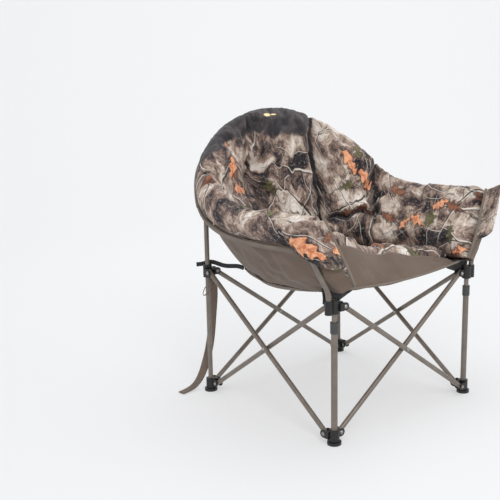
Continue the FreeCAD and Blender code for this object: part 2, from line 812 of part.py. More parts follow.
def make_strap():
    """The strap's flat webbing along straight runs joined by tangent arcs."""
    route = [Vector(x, y + LEGS_Y, z) for x, y, z in STRAP_ROUTE]
    radii = []
    for before, corner, after in zip(route, route[1:], route[2:]):
        run = min((corner - before).Length, (after - corner).Length)
        turn = (corner - before).getAngle(after - corner)
        radii.append(STRAP_BEND_SHARE * run / math.tan(turn / 2))
    path = rounded_path(route, radii)
    wide, thick = size_of("strap_width") / 2, size_of("webbing_thickness") / 2
    start = route[0]
    heading = (route[1] - route[0]).normalize()
    across = heading.cross(Vector(1, 0, 0)).normalize()
    flat = heading.cross(across).normalize()
    signs = [(-1, -1), (1, -1), (1, 1), (-1, 1)]
    corners = [start + across * (wide * a) + flat * (thick * b) for a, b in signs]
    profile = Part.makePolygon(corners + corners[:1])
    strap = doc.addObject("Part::Feature", "carry_strap")
    strap.Shape = path.makePipeShell([profile], True, False)
    print("carry strap length, mm:", round(path.Length))
    keep("carry_strap", strap)


def build_frame():
    """Everything that is metal or moulded."""
    for corner in CORNERS:
        make_foot(corner)
        make_hub(corner)
        make_rivet_pair(corner, "foot", FOOT_Z, PLANE)
        make_rivet_pair(corner, "hub", HUB_Z, -PLANE)
        make_leg(corner)
    for number in range(4):
        make_side(number)
    for corner in CORNERS[1:3]:
        make_arm_post(corner)


def build_bucket():
    """The padded liner, the outer fabric and what ties them to the frame."""
    full = [0.0, 0.15, 0.35, 0.6, 0.85, 1.0]
    make_wall("back_pad", -BACK_PAD_END, BACK_PAD_END, 5, liner_face, pad_depth, full)
    make_wall("back_shell", -BACK_SHELL_END, BACK_SHELL_END, 19, shell_near, shell_far, full)
    for side, out in (("left", 1), ("right", -1)):
        wing = (out * WING_START, out * BACK_SHELL_END)
        arm = (out * ARM_START, out * ARM_END)
        make_wall("wing_pad_" + side, *wing, 8, liner_face, pad_depth, full)
        make_wall("arm_pad_" + side, *arm, 9, liner_face, pad_depth, full)
        make_wall("arm_shell_" + side, *arm, 9, shell_near, shell_far, full)
        make_pocket(side, out)
        make_gusset(side, out)
        make_corner_webbing(side, out)
    front_rows = [-300, -270, -235, -190, -140, -80, SEAT_SPLIT - 2]
    rear_rows = [SEAT_SPLIT + 2, 40, 100, 160, SEAT_REAR]
    skin_rows = [-308] + front_rows
    make_seat("seat_pad_front", front_rows[2:], seat_top, pad_under)
    make_seat("seat_pad_rear", rear_rows, seat_top, pad_under)
    make_seat("seat_shell_front", skin_rows, seat_skin_top, seat_under)
    make_seat("seat_shell_rear", rear_rows, seat_skin_top, seat_under)
    make_apron()
    make_binding()


def check_and_export():
    """Stops on any failed object or bad shape, then writes one STEP file per node."""
    doc.recompute()
    for thing in doc.Objects:
        if "Invalid" in thing.State or "Error" in thing.State:
            raise RuntimeError(f"{thing.Label} failed: {thing.State}")
    for node, thing in NODES.items():
        shape = thing.Shape
        if shape.isNull() or not shape.isValid() or shape.Volume <= 0:
            raise RuntimeError(f"{node} has a bad shape")
    os.makedirs("parts", exist_ok=True)
    for node, thing in NODES.items():
        thing.Shape.exportStep(f"parts/{node}.step")


build_frame()
build_bucket()
make_strap()
check_and_export()
print(len(NODES), "nodes")
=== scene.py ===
import json
import math

import bmesh
import bpy
import numpy as np
from mathutils import Matrix, Vector, noise


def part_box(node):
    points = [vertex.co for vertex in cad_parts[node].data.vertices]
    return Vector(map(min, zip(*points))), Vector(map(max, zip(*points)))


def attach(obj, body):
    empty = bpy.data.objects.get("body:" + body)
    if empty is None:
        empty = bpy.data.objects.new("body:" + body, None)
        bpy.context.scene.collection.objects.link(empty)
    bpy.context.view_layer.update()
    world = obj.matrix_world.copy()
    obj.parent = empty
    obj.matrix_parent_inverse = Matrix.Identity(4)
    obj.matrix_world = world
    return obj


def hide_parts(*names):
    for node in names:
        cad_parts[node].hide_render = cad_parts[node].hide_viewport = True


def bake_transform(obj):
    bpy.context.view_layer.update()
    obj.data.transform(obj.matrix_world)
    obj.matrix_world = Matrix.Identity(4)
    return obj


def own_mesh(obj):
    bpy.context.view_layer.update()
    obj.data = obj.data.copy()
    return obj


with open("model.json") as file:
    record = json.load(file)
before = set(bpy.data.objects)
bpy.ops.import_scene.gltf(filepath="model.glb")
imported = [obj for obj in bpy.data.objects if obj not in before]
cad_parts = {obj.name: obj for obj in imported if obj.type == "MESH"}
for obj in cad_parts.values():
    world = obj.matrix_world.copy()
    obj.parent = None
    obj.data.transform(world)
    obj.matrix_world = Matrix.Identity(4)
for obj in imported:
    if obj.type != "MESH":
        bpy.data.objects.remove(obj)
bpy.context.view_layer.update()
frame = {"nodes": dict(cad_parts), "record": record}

# Folding padded camp chair. Metres, the sitter faces -Y, right and left are the sitter's.
# The fabric bucket is drawn on one wall that runs round the sitter, as in the CAD model.

NODES = frame["nodes"]


def middle_of(node):
    """Centre of a CAD node's box at rest."""
    low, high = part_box(node)
    return (low + high) / 2


LEGS_Y = (middle_of("leg_front_left").y + middle_of("leg_rear_left").y) / 2
LEG_X = middle_of("leg_front_left").x
SKY_COLOUR = (0.985, 0.99, 1.0)
SEAM_STATION = 4.76
LAST_STATION = 9.0
SIGN = {"right": -1, "left": 1}

# --- The wall round the sitter ---------------------------------------------------------------

WALL_FOOT = [
    (0, 0.236, 0.452),
    (0.110, 0.233, 0.452),
    (0.180, 0.216, 0.455),
    (0.226, 0.182, 0.459),
    (0.249, 0.122, 0.464),
    (0.259, 0.050, 0.467),
    (0.264, -0.040, 0.470),
    (0.267, -0.150, 0.474),
    (0.269, -0.260, 0.484),
    (0.270, -0.338, 0.494),
]
WALL_CREST = [
    (0, 0.346, 0.958),
    (0.105, 0.343, 0.946),
    (0.198, 0.330, 0.912),
    (0.287, 0.296, 0.862),
    (0.362, 0.250, 0.802),
    (0.396, 0.184, 0.742),
    (0.404, 0.076, 0.700),
    (0.402, -0.060, 0.691),
    (0.396, -0.200, 0.696),
    (0.381, -0.318, 0.702),
]
WALL_BULGE = 0.013
PAD_DEPTH = 0.040
LEFT_TIP_LIFT = np.array([0, 0, 0.012])


class Spline:
    """A natural cubic spline through points at whole-number parameters."""

    def __init__(self, points):
        self.points = np.array(points, float)
        count = len(self.points)
        matrix = np.eye(count) * 4
        matrix[0, 0] = matrix[-1, -1] = 1
        right = np.zeros_like(self.points)
        for row in range(1, count - 1):
            matrix[row, row - 1] = matrix[row, row + 1] = 1
            right[row] = 6 * (self.points[row - 1] - 2 * self.points[row] + self.points[row + 1])
        self.curvature = np.linalg.solve(matrix, right)

    def __call__(self, t):
        t = np.asarray(t, float)
        low = np.clip(np.floor(t).astype(int), 0, len(self.points) - 2)
        b = (t - low)[..., None]
        a = 1 - b
        p, m = self.points, self.curvature
        bend = ((a ** 3 - a) * m[low] + (b ** 3 - b) * m[low + 1]) / 6
        return a * p[low] + b * p[low + 1] + bend


def mirrored(points):
    """The same stations on the sitter's right, then on the left."""
    return [(-x, y, z) for x, y, z in points[:0:-1]] + points


FOOT_CURVE = Spline(mirrored(WALL_FOOT))
CREST_CURVE = Spline(mirrored(WALL_CREST))
MIDDLE = len(WALL_FOOT) - 1


def unit(vectors):
    """Vectors at length 1."""
    return vectors / np.maximum(np.linalg.norm(vectors, axis=-1, keepdims=True), 1e-9)


def square_to(vectors, heading):
    """The parts of vectors square to a heading, at length 1."""
    return unit(vectors - heading * np.sum(vectors * heading, axis=1, keepdims=True))


def distances(line):
    """How far along a line each of its points lies."""
    return np.concatenate([[0], np.cumsum(np.linalg.norm(np.diff(line, axis=0), axis=1))])


def wall(station, rise, depth):
    """Points of the wall: station round the sitter, rise from foot to crest, depth behind its face."""
    station, rise, depth = np.broadcast_arrays(*(np.asarray(v, float) for v in (station, rise, depth)))
    r = rise[..., None]
    step = 0.02
    here = np.clip(station, step - MIDDLE, MIDDLE - step)

    def flat(s):
        low, high = FOOT_CURVE(MIDDLE + s), CREST_CURVE(MIDDLE + s)
        high = high + smooth(s, 6.0, 9.0)[..., None] * LEFT_TIP_LIFT
        return low + (high - low) * r

    up = CREST_CURVE(MIDDLE + station) - FOOT_CURVE(MIDDLE + station)
    normal = unit(np.cross(up, flat(here + step) - flat(here - step)))
    bulge = WALL_BULGE * 4 * np.clip(r * (1 - r), -0.1, 1)
    points = flat(station) + normal * (depth[..., None] + bulge)
    return points + np.array([0, LEGS_Y, 0])


def on_side(points, side):
    """Points of the sitter's left, about the legs' middle, put on one side of the chair."""
    return np.array(points) * (SIGN[side], 1, 1) + (0, LEGS_Y, 0)


def smooth(x, low, high):
    """0 below low, 1 above high, and smooth between."""
    t = np.clip((np.asarray(x, float) - low) / (high - low), 0, 1)
    return t * t * (3 - 2 * t)


def arm_share(station):
    """0 on the back, 1 along an arm."""
    return smooth(np.abs(station), 3.4, 5.4)


def crown(x, width):
    """A rounded edge: 0 at x = 0, and 1 from x = width on."""
    t = np.clip(x / width, 0, 1)
    return np.sqrt(np.clip(1 - (1 - t) ** 2, 0, 1))


def fractal(points, scale, octaves=3, seed=0.0):
    """Soft noise in -1..1 at points, scale in features a metre."""
    shift = Vector((seed, seed * 1.7, -seed))
    flat = points.reshape(-1, 3)
    found = [noise.fractal(Vector(p) * scale + shift, 1.0, 2.0, octaves) for p in flat]
    return np.array(found).reshape(points.shape[:-1])


def crease(across, width):
    """A narrow valley: 1 on its line, 0 away from it."""
    return np.exp(-((across / width) ** 2))


# --- Mesh helpers ----------------------------------------------------------------------------

COLLECTION = bpy.context.scene.collection


def new_mesh(name, verts, faces, prints=None):
    """A smooth-shaded mesh object. `prints` are each point's place on the flat cloth, in metres."""
    mesh = bpy.data.meshes.new(name)
    mesh.from_pydata([tuple(v) for v in verts], [], faces)
    mesh.validate()
    piece = bpy.data.objects.new(name, mesh)
    COLLECTION.objects.link(piece)
    if prints is not None:
        places = mesh.attributes.new("cloth", "FLOAT_VECTOR", "POINT")
        places.data.foreach_set("vector", np.asarray(prints, np.float32).ravel())
    mesh.polygons.foreach_set("use_smooth", [True] * len(mesh.polygons))
    return piece


def closed_mesh(name, verts, faces, prints):
    """A smooth-shaded closed form whose normals point out."""
    piece = new_mesh(name, verts, faces, prints)
    edit = bmesh.new()
    edit.from_mesh(piece.data)
    bmesh.ops.recalc_face_normals(edit, faces=edit.faces)
    if edit.calc_volume(signed=True) < 0:
        bmesh.ops.reverse_faces(edit, faces=edit.faces)
    edit.to_mesh(piece.data)
    edit.free()
    return piece


def grid_faces(rows, columns, flip=False, first=0):
    """Quads of a grid whose points run row by row."""
    faces = []
    for i in range(rows - 1):
        for j in range(columns - 1):
            a = first + i * columns + j
            quad = [a, a + 1, a + columns + 1, a + columns]
            faces.append(quad[::-1] if flip else quad)
    return faces


def pillow(name, face, back, prints):
    """A closed form from two grids of points that share their border."""
    rows, columns = face.shape[:2]
    verts = face.reshape(-1, 3)
    total = len(verts)
    inner = np.arange(total).reshape(rows, columns)
    other = inner.copy()
    other[1:-1, 1:-1] = total + np.arange((rows - 2) * (columns - 2)).reshape(rows - 2, columns - 2)
    hidden = back[1:-1, 1:-1].reshape(-1, 3)
    faces = []
    for i in range(rows - 1):
        for j in range(columns - 1):
            quad = [inner[i, j], inner[i, j + 1], inner[i + 1, j + 1], inner[i + 1, j]]
            under = [other[i, j], other[i + 1, j], other[i + 1, j + 1], other[i, j + 1]]
            faces += [[int(v) for v in quad], [int(v) for v in under]]
    both = np.concatenate([prints.reshape(-1, 3), prints[1:-1, 1:-1].reshape(-1, 3)])
    return closed_mesh(name, np.concatenate([verts, hidden]), faces, both)


def normals_of(grid):
    """Unit normals of a grid of points."""
    return unit(np.cross(np.gradient(grid, axis=0), np.gradient(grid, axis=1)))


def slab(name, one, two, prints):
    """A closed form between two grids, with narrow edges."""
    rows, columns = one.shape[:2]
    count = rows * columns
    faces = grid_faces(rows, columns) + grid_faces(rows, columns, True, count)
    index = np.arange(count).reshape(rows, columns)
    rim = list(index[0, :]) + list(index[1:, -1]) + list(index[-1, -2::-1]) + list(index[-2:0:-1, 0])
    for a, b in zip(rim, rim[1:] + rim[:1]):
        faces.append([int(v) for v in (a, a + count, b + count, b)])
    both = np.concatenate([prints.reshape(-1, 3)] * 2)
    return closed_mesh(name, np.concatenate([one.reshape(-1, 3), two.reshape(-1, 3)]), faces, both)


def loft(name, rings, prints):
    """A closed form through rings of points, with a cap at each end."""
    count, sides = rings.shape[:2]
    faces = []
    for k in range(count - 1):
        for n in range(sides):
            a, b = k * sides + n, k * sides + (n + 1) % sides
            faces.append([a, b, b + sides, a + sides])
    faces.append(list(range(sides))[::-1])
    faces.append([(count - 1) * sides + n for n in range(sides)])
    return closed_mesh(name, rings.reshape(-1, 3), faces, prints)


def tube_along(name, line, radius, sides=8, flatten=1.0):
    """A closed tube along a line of points; `flatten` thins it one way."""
    heading = unit(np.gradient(line, axis=0))
    angle = (2 * math.pi * np.arange(sides) / sides)[:, None]
    side = np.array([0.3, 0.2, 1.0])
    rings = []
    for point, ahead in zip(line, heading):
        side = unit(side - ahead * np.dot(side, ahead))
        ring = np.cos(angle) * np.cross(ahead, side) + np.sin(angle) * side * flatten
        rings.append(point + radius * ring)
    prints = np.zeros((len(line), sides, 3))
    prints[..., 0] = distances(line)[:, None]
    prints[..., 1] = radius * angle[:, 0]
    return loft(name, np.array(rings), prints)


# --- Materials -------------------------------------------------------------------------------


class Value:
    """A number or a vector that a material works out at each point, with the usual arithmetic."""

    def __init__(self, shader, socket):
        self.shader = shader
        self.socket = socket
        self.is_vector = socket.type in ("VECTOR", "RGBA")

    def __add__(self, other):
        return self.shader.math("ADD", self, other)

    def __sub__(self, other):
        return self.shader.math("SUBTRACT", self, other)

    def __rsub__(self, other):
        return self.shader.math("SUBTRACT", other, self)

    def __mul__(self, other):
        return self.shader.math("MULTIPLY", self, other)

    def __truediv__(self, other):
        return self.shader.math("DIVIDE", self, other)

    def __lt__(self, other):
        return self.shader.math("LESS_THAN", self, other)

    def __abs__(self):
        return self.shader.math("ABSOLUTE", self)

    def output(self, key):
        """Another output of the same node."""
        return Value(self.shader, self.socket.node.outputs[key])

    def parts(self):
        """The three parts of a vector or a colour."""
        first = self.shader.make("SeparateXYZ", {0: self})
        return first, first.output(1), first.output(2)


class Shader:
    """A short way to build a node material."""

    def __init__(self, name):
        self.material = bpy.data.materials.new(name)
        self.material.use_nodes = True
        self.tree = self.material.node_tree

    def make(self, kind, inputs, output=0, **settings):
        """Adds a node, and gives one of its outputs."""
        node = self.tree.nodes.new("ShaderNode" + kind)
        for key, value in settings.items():
            setattr(node, key, value)
        for key, value in inputs.items():
            self.put(node.inputs[key], value)
        return Value(self, node.outputs[output])

    def put(self, socket, value):
        """Links a socket, or sets its value."""
        if isinstance(value, Value):
            self.tree.links.new(value.socket, socket)
        elif socket.type == "RGBA":
            socket.default_value = (*value, 1)
        else:
            socket.default_value = value

    def math(self, operation, *operands):
        """One sum on numbers, or on vectors where any operand is one."""
        vector = any(v.is_vector if isinstance(v, Value) else isinstance(v, tuple) for v in operands)
        return self.make("VectorMath" if vector else "Math", dict(enumerate(operands)), operation=operation)

    def length(self, vector):
        """The length of a vector."""
        return self.make("VectorMath", {0: vector}, "Value", operation="LENGTH")

    def noise(self, place, scale, detail=3.0, roughness=0.55, distortion=0.0, output=0):
        """Soft noise, with that many features a metre."""
        inputs = {"Vector": place, "Scale": scale, "Detail": detail, "Roughness": roughness}
        return self.make("TexNoise", inputs | {"Distortion": distortion}, output)

    def cells(self, place, scale, output, feature="F1", **inputs):
        """Scattered cells, with that many a metre."""
        inputs = {"Vector": place, "Scale": scale} | inputs
        return self.make("TexVoronoi", inputs, output, voronoi_dimensions="2D", feature=feature)

    def between(self, value, low, high):
        """0 at low, 1 at high, and smooth between."""
        inputs = {"Value": value, "From Min": low, "From Max": high}
        return self.make("MapRange", inputs, interpolation_type="SMOOTHSTEP")

    def mix(self, share, one, two):
        """A colour that goes from one to two."""
        return self.make("Mix", {0: share, 6: one, 7: two}, 2, data_type="RGBA")

    def ramp(self, value, stops):
        """A colour for each value, through stops of value and colour."""
        made = self.make("ValToRGB", {0: value})
        elements = made.socket.node.color_ramp.elements
        while len(elements) < len(stops):
            elements.new(0.5)
        for element, (place, colour) in zip(elements, stops):
            element.position = place
            element.color = (*colour, 1)
        return made

    def bump(self, height, distance, strength, normal=None):
        """The normal of a bumpy face, over another normal where there is one."""
        over = {} if normal is None else {"Normal": normal}
        return self.make("Bump", {"Height": height, "Distance": distance, "Strength": strength} | over)

    def cloth(self):
        """Each point's place on the flat cloth, in metres."""
        return self.make("Attribute", {}, "Vector", attribute_name="cloth")

    def rest_place(self):
        """Where a rigid part's point is on the part, whatever its pose."""
        return self.make("TexCoord", {}, "Object")

    def finish(self, colour, roughness, normal, **sockets):
        """Gives the surface its colour, roughness and normal, and any other named socket."""
        values = {"Base Color": colour, "Roughness": roughness, "Normal": normal}
        values |= {key.replace("_", " "): value for key, value in sockets.items()}
        for key, value in values.items():
            self.put(self.tree.nodes["Principled BSDF"].inputs[key], value)
        return self.material


def weave_height(s, cloth, threads):
    """The height of a plain weave with that many threads a metre."""
    across, along, _ = cloth.parts()
    turns = threads * math.pi
    return abs(s.math("SINE", across * turns)) * abs(s.math("SINE", along * turns))


def cell_places(s, cloth, scale, seed):
    """Scattered cells: the place in the cell, turned at random, and two of the cell's random numbers."""
    shifted = cloth + (seed * 3.17, seed * 1.93, 0)
    centre = s.cells(shifted, scale, "Position", Randomness=0.70)
    chance = s.make("TexWhiteNoise", {"Vector": centre * (37.0, 37.0, 37.0)}, "Color", noise_dimensions="2D")
    turn, chosen, tint = chance.parts()
    turned = {"Vector": shifted - centre, "Angle": turn * (2 * math.pi)}
    x, y, _ = s.make("VectorRotate", turned, rotation_type="Z_AXIS").parts()
    return x, y, chosen, tint


def laid_at(s, cloth, centre, angle, size):
    """The place in something laid on the cloth at a centre and angle, in shares of its half sizes."""
    inputs = {"Vector": cloth, "Location": (*centre, 0), "Rotation": (0, 0, math.radians(angle))}
    return s.make("Mapping", inputs | {"Scale": (*size, 1)}, vector_type="TEXTURE")


def leaf_shape(s, x, y, blur):
    """A lobed leaf of half length 1 along X: 1 inside it, 1 on its ribs, and 1 over its shadow."""
    stem = s.make("Clamp", {"Value": x * 0.5 + 0.5})
    body = s.math("POWER", stem, 0.45) * (1.0 - stem)
    off = abs(y)
    lobes = s.math("COSINE", (x - off * 0.55) * 11.0)
    inside = body * (lobes * 0.36 + 0.98) - off
    side_ribs = abs(s.math("SINE", (x - off * 0.9) * 13.0))
    ribs = 1.0 - s.between(s.math("MINIMUM", side_ribs, off * 12.0), 0.05, 0.35)
    shade = s.between(inside - y * 0.08, -0.14, 0.0)
    return s.between(inside, 0.0, blur), ribs, shade


def scattered_leaves(s, cloth, scale, seed, length, share):
    """Leaves strewn over the cloth: inside, ribs, shadow, and each leaf's random number."""
    x, y, chosen, tint = cell_places(s, cloth, scale, seed)
    leaf, ribs, shade = leaf_shape(s, x / length, y / length, 0.12)
    taken = chosen < share
    return leaf * taken, ribs, shade * taken, tint


def twig_profile(s, x, y, bend, length, width):
    """A bent twig along X, thicker at one end: 1 inside it, and 1 on the strip along one side."""
    arch = x * x * bend
    above = y - arch + s.math("SINE", x * 52.0) * 0.0022
    taper = x * (width * 0.45 / length) + width * 0.55
    ends = 1.0 - s.between(abs(x), length * 0.8, length)
    twig = s.between(taper - abs(above), -0.0006, 0.0008)
    strip = s.between(taper - abs(above + width * 0.8), -0.0020, 0.0010)
    return twig * ends, strip * ends


RUST, ORANGE, OLIVE = 0, 1, 2
LEAF_COLOURS = (
    ((0.120, 0.045, 0.030), (0.340, 0.140, 0.080)),
    ((0.560, 0.180, 0.085), (0.920, 0.470, 0.260)),
    ((0.060, 0.062, 0.026), (0.200, 0.180, 0.085)),
)
# Cells a metre, seed, half length in metres, share of the cells used, and colour.
LEAF_KINDS = (
    (7.4, 11.0, 0.036, 0.26, OLIVE),
    (7.0, 8.0, 0.038, 0.42, RUST),
    (5.8, 5.0, 0.036, 0.20, ORANGE),
)
# Place on the cloth, turn in degrees, half length in metres, and colour of the leaves that show most.
PLACED_LEAVES = (
    ((-0.270, 0.345), 78, 0.054, ORANGE),
    ((-0.238, 0.285), 20, 0.050, ORANGE),
    ((-0.140, 0.400), 65, 0.056, RUST),
    ((-0.085, 0.190), -35, 0.040, RUST),
    ((0.320, 0.385), -55, 0.052, ORANGE),
    ((0.395, 0.330), -40, 0.052, ORANGE),
    ((0.372, 0.215), 40, 0.036, RUST),
    ((0.700, 0.125), -25, 0.046, ORANGE),
    ((0.752, 0.150), 60, 0.046, OLIVE),
    ((0.790, 0.195), 15, 0.040, ORANGE),
    ((0.590, 0.245), -10, 0.040, RUST),
    ((7.112, 0.088), 132, 0.072, ORANGE),
    ((7.025, 0.060), 30, 0.030, RUST),
)
# Place on the cloth and half sizes in metres, and how much paler (or darker, below 0) the print is there.
PLACED_PATCHES = (
    ((0.294, 0.158), (0.085, 0.026), -0.50),
    ((0.074, 0.400), (0.060, 0.032), -0.35),
    ((-0.164, 0.335), (0.050, 0.050), -0.32),
    ((-0.704, 0.240), (0.100, 0.024), -0.45),
    ((0.459, 0.175), (0.032, 0.080), -0.45),
    ((0.780, 0.070), (0.070, 0.034), -0.38),
    ((0.215, 0.030), (0.070, 0.032), -0.40),
    ((-0.014, 0.235), (0.080, 0.062), 0.26),
    ((-0.090, 0.420), (0.055, 0.030), 0.36),
    ((0.263, 0.325), (0.060, 0.060), 0.14),
)
LITTER_TONES = [
    (0.10, (0.016, 0.013, 0.017)),
    (0.26, (0.058, 0.040, 0.038)),
    (0.42, (0.185, 0.122, 0.098)),
    (0.58, (0.370, 0.275, 0.220)),
    (0.76, (0.600, 0.500, 0.420)),
    (0.97, (0.800, 0.730, 0.670)),
]
DARK_BARK = (0.020, 0.016, 0.017)
PALE_BARK = (0.700, 0.640, 0.570)
# Cells a metre, half length and half width in metres, share of the cells used, and whether it is dark.
TWIG_KINDS = (
    (2.3, 0.220, 0.0055, 0.95, True),
    (3.1, 0.170, 0.0032, 0.80, False),
    (4.6, 0.120, 0.0030, 0.90, True),
    (5.6, 0.095, 0.0018, 0.85, False),
)
# Place on the cloth, turn in degrees, half length, bend, half width, and whether it is dark.
PLACED_TWIGS = (
    ((0.055, 0.368), -16, 0.155, 0.10, 0.0062, False),
    ((0.057, 0.235), -52, 0.145, -0.12, 0.0070, True),
    ((0.102, 0.260), -75, 0.115, 0.16, 0.0028, False),
    ((-0.278, 0.236), -29, 0.150, 0.14, 0.0042, False),
    ((0.298, 0.253), -48, 0.130, 0.22, 0.0032, False),
    ((0.861, 0.180), -5, 0.085, 0.04, 0.0038, False),
    ((0.867, 0.072), -27, 0.080, 0.12, 0.0040, False),
)


def litter(s, cloth, warped):
    """The print's ground: soft pale patches, bark streaks and flakes over dark hollows."""
    patches = s.noise(warped, 6.2, 3.0, 0.55)
    flaked = warped * (1.0, 0.62, 1.0)
    flakes = s.cells(flaked, 30.0, "Color").parts()[0]
    rims = s.cells(flaked, 30.0, "Distance", "DISTANCE_TO_EDGE")
    blotches = s.noise(warped, 19.0, 3.0, 0.6)
    tone = blotches * 1.55 + (patches * 2.15 - 1.47) + flakes * 0.20
    bark = s.noise(warped * (70.0, 11.0, 1.0), 1.0, 4.0, 0.7, 0.6)
    tone = tone + (bark - 0.5) * 0.85
    for centre, size, lift in PLACED_PATCHES:
        near = s.between(s.length(laid_at(s, warped, centre, 0, size)), 1.35, 0.45)
        tone = tone + near * lift
    ground = s.ramp(tone, LITTER_TONES)
    edge = 1.0 - s.between(rims, 0.0, 0.05)
    ground = s.mix(edge * 0.35, ground, (0.030, 0.023, 0.022))
    cracks = s.noise(warped * (14.0, 120.0, 1.0), 1.0, 4.0, 0.75, 0.6)
    ground = s.mix(s.between(cracks, 0.56, 0.66) * 0.75, ground, (0.018, 0.015, 0.017))
    specks = s.noise(cloth, 105.0, 4.0, 0.8)
    ground = s.mix(s.between(specks, 0.54, 0.66) * 0.42, ground, (0.74, 0.67, 0.61))
    return s.mix(s.between(specks, 0.46, 0.34) * 0.45, ground, (0.030, 0.023, 0.025))


def lay_twig(s, ground, twig, strip, dark):
    """Puts twigs on the ground: a dark one has a pale edge, and a pale one a dark edge."""
    bark, beside = (DARK_BARK, PALE_BARK) if dark else (PALE_BARK, DARK_BARK)
    ground = s.mix(strip * 0.70, ground, beside)
    return s.mix(twig * 0.92, ground, bark)


def add_twigs(s, bent, ground):
    """Bent branches and twigs scattered over the cloth, and the long ones that show most."""
    for number, (scale, length, width, share, dark) in enumerate(TWIG_KINDS):
        x, y, chosen, tint = cell_places(s, bent, scale, 2.0 + 3.0 * number)
        bend = tint * (1.3 / length) - 0.65 / length
        twig, strip = twig_profile(s, x, y, bend, length, width)
        taken = chosen < share
        ground = lay_twig(s, ground, twig * taken, strip * taken, dark)
    for centre, angle, length, bend, width, dark in PLACED_TWIGS:
        x, y, _ = laid_at(s, bent, centre, angle, (1, 1)).parts()
        twig, strip = twig_profile(s, x, y, bend / length, length, width)
        ground = lay_twig(s, ground, twig, strip, dark)
    return ground


def lay_leaves(s, mottle, ground, leaf, ribs, shade, dark, light):
    """Puts leaves, with their shadow, on the ground."""
    ground = s.mix(shade * 0.70, ground, (0.012, 0.010, 0.011))
    colour = s.mix(s.between(mottle, 0.36, 0.62), dark, light)
    colour = s.mix(ribs * 0.35, colour, s.mix(0.5, dark, (0.05, 0.03, 0.02)))
    return s.mix(leaf, ground, colour)


def placed_leaves(s, cloth):
    """The place in the nearest leaf of PLACED_LEAVES, in half lengths, and that leaf's kind."""
    place, kind = (9.0, 9.0, 0.0), 0.0
    for centre, angle, length, leaf_kind in PLACED_LEAVES:
        local = laid_at(s, cloth, centre, angle, (length, length))
        near = s.length(local) < 1.1
        place = s.make("Mix", {0: near, 4: place, 5: local}, 1, data_type="VECTOR")
        kind = near * s.math("SUBTRACT", leaf_kind / 2, kind) + kind
    x, y, _ = place.parts()
    return x, y, kind


def add_leaves(s, cloth, ragged, ground):
    """Leaves scattered over the cloth, and the ones that show most."""
    mottle = s.noise(cloth, 48.0, 4.0, 0.7)
    for scale, seed, length, share, kind in LEAF_KINDS:
        leaf, ribs, shade, tint = scattered_leaves(s, ragged, scale, seed, length, share)
        leaf = leaf * s.between(mottle, 0.36, 0.46)
        tone = tint * 0.12 + (mottle - 0.06)
        ground = lay_leaves(s, tone, ground, leaf, ribs, shade, *LEAF_COLOURS[kind])
    x, y, kind = placed_leaves(s, ragged)
    leaf, ribs, shade = leaf_shape(s, x, y, 0.09)
    dark = s.ramp(kind, [(number / 2, LEAF_COLOURS[number][0]) for number in range(3)])
    light = s.ramp(kind, [(number / 2, LEAF_COLOURS[number][1]) for number in range(3)])
    return lay_leaves(s, mottle, ground, leaf, ribs, shade, dark, light)


def add_dark_band_and_crease_shade(s, cloth, ground):
    """The cloudy dark band along the back's top, and the painted shade of the seam crease beside it."""
    # The band attribute also carries painted shade along the seam crease; both darken the print here.
    band = s.make("Attribute", {}, "Fac", attribute_name="band")
    cloudy = s.noise(cloth, 16.0, 4.0, 0.65)
    darkened = s.mix(s.between(cloudy, 0.35, 0.70), (0.026, 0.024, 0.028), (0.105, 0.092, 0.092))
    share = (cloudy - 0.5) * -1.2 + band
    return s.mix(s.between(share, 0.30, 0.62), ground, darkened)


def liner_print():
    """Woodland print on brushed polyester: bark, dark hollows, twigs, and rust, orange and olive leaves."""
    s = Shader("liner_print")
    cloth = s.cloth()
    warp = s.noise(cloth, 7.0, 2.0, output=1) - (0.5, 0.5, 0.5)
    warped = cloth + warp * (0.11, 0.11, 0)
    bent = cloth + warp * (0.045, 0.045, 0)
    fine = (s.noise(cloth, 55.0, 3.0, output=1) - (0.5, 0.5, 0.5)) * (0.018, 0.018, 0)
    ground = litter(s, cloth, warped + fine)
    ground = add_twigs(s, bent, ground)
    ground = add_leaves(s, cloth, cloth + fine, ground)
    ground = add_dark_band_and_crease_shade(s, cloth, ground)
    weave = weave_height(s, cloth, 900.0)
    height = weave * 0.6 + s.noise(cloth, 900.0, 2.0) * 0.6
    crumple = s.noise(cloth * (1.0, 1.4, 1.0), 42.0, 4.0, 0.6, 0.5)
    normal = s.bump(height, 0.0005, 0.5, s.bump(crumple, 0.004, 0.6))
    return s.finish(ground, 0.82, normal, Sheen_Weight=0.12, Sheen_Roughness=0.5, Specular_IOR_Level=0.25)


def plain_cloth(name, dark, light, threads, crumple=0.35):
    """Plain woven cloth with uneven dye, creases and a visible weave whose hollows are painted darker as
    shade.
    """
    s = Shader(name)
    cloth = s.cloth()
    colour = s.mix(s.between(s.noise(cloth, 9.0, 4.0, 0.6), 0.3, 0.72), dark, light)
    weave = weave_height(s, cloth, threads)
    # Painted shade: the weave's hollows are darkened in the colour.
    colour = s.mix((1.0 - weave) * 0.35, colour, tuple(c * 0.55 for c in dark))
    folds = s.noise(cloth * (1.0, 0.55, 1.0), 30.0, 4.0, 0.6, 0.7)
    normal = s.bump(weave, 0.0004, 0.6, s.bump(folds, 0.003, crumple))
    return s.finish(colour, 0.8, normal, Sheen_Weight=0.2, Specular_IOR_Level=0.3)


def webbing(name, dark, light):
    """Woven strap: ribs along it and fine threads across, with painted shade in their hollows and painted
    light on their tops.
    """
    s = Shader(name)
    cloth = s.cloth()
    across, along, _ = cloth.parts()
    ribs = abs(s.math("SINE", across * 1500.0))
    height = ribs * 0.7 + abs(s.math("SINE", along * 900.0)) * 0.4
    # Painted light and shade: the colour follows the weave's height, lighter on the ribs and darker between
    # them, mixed with random tone.
    tone = height * 0.55 + s.noise(cloth, 300.0, 3.0) * 0.45
    colour = s.mix(s.between(tone, 0.2, 0.85), dark, light)
    return s.finish(colour, 0.75, s.bump(height, 0.0006, 0.8), Sheen_Weight=0.15)


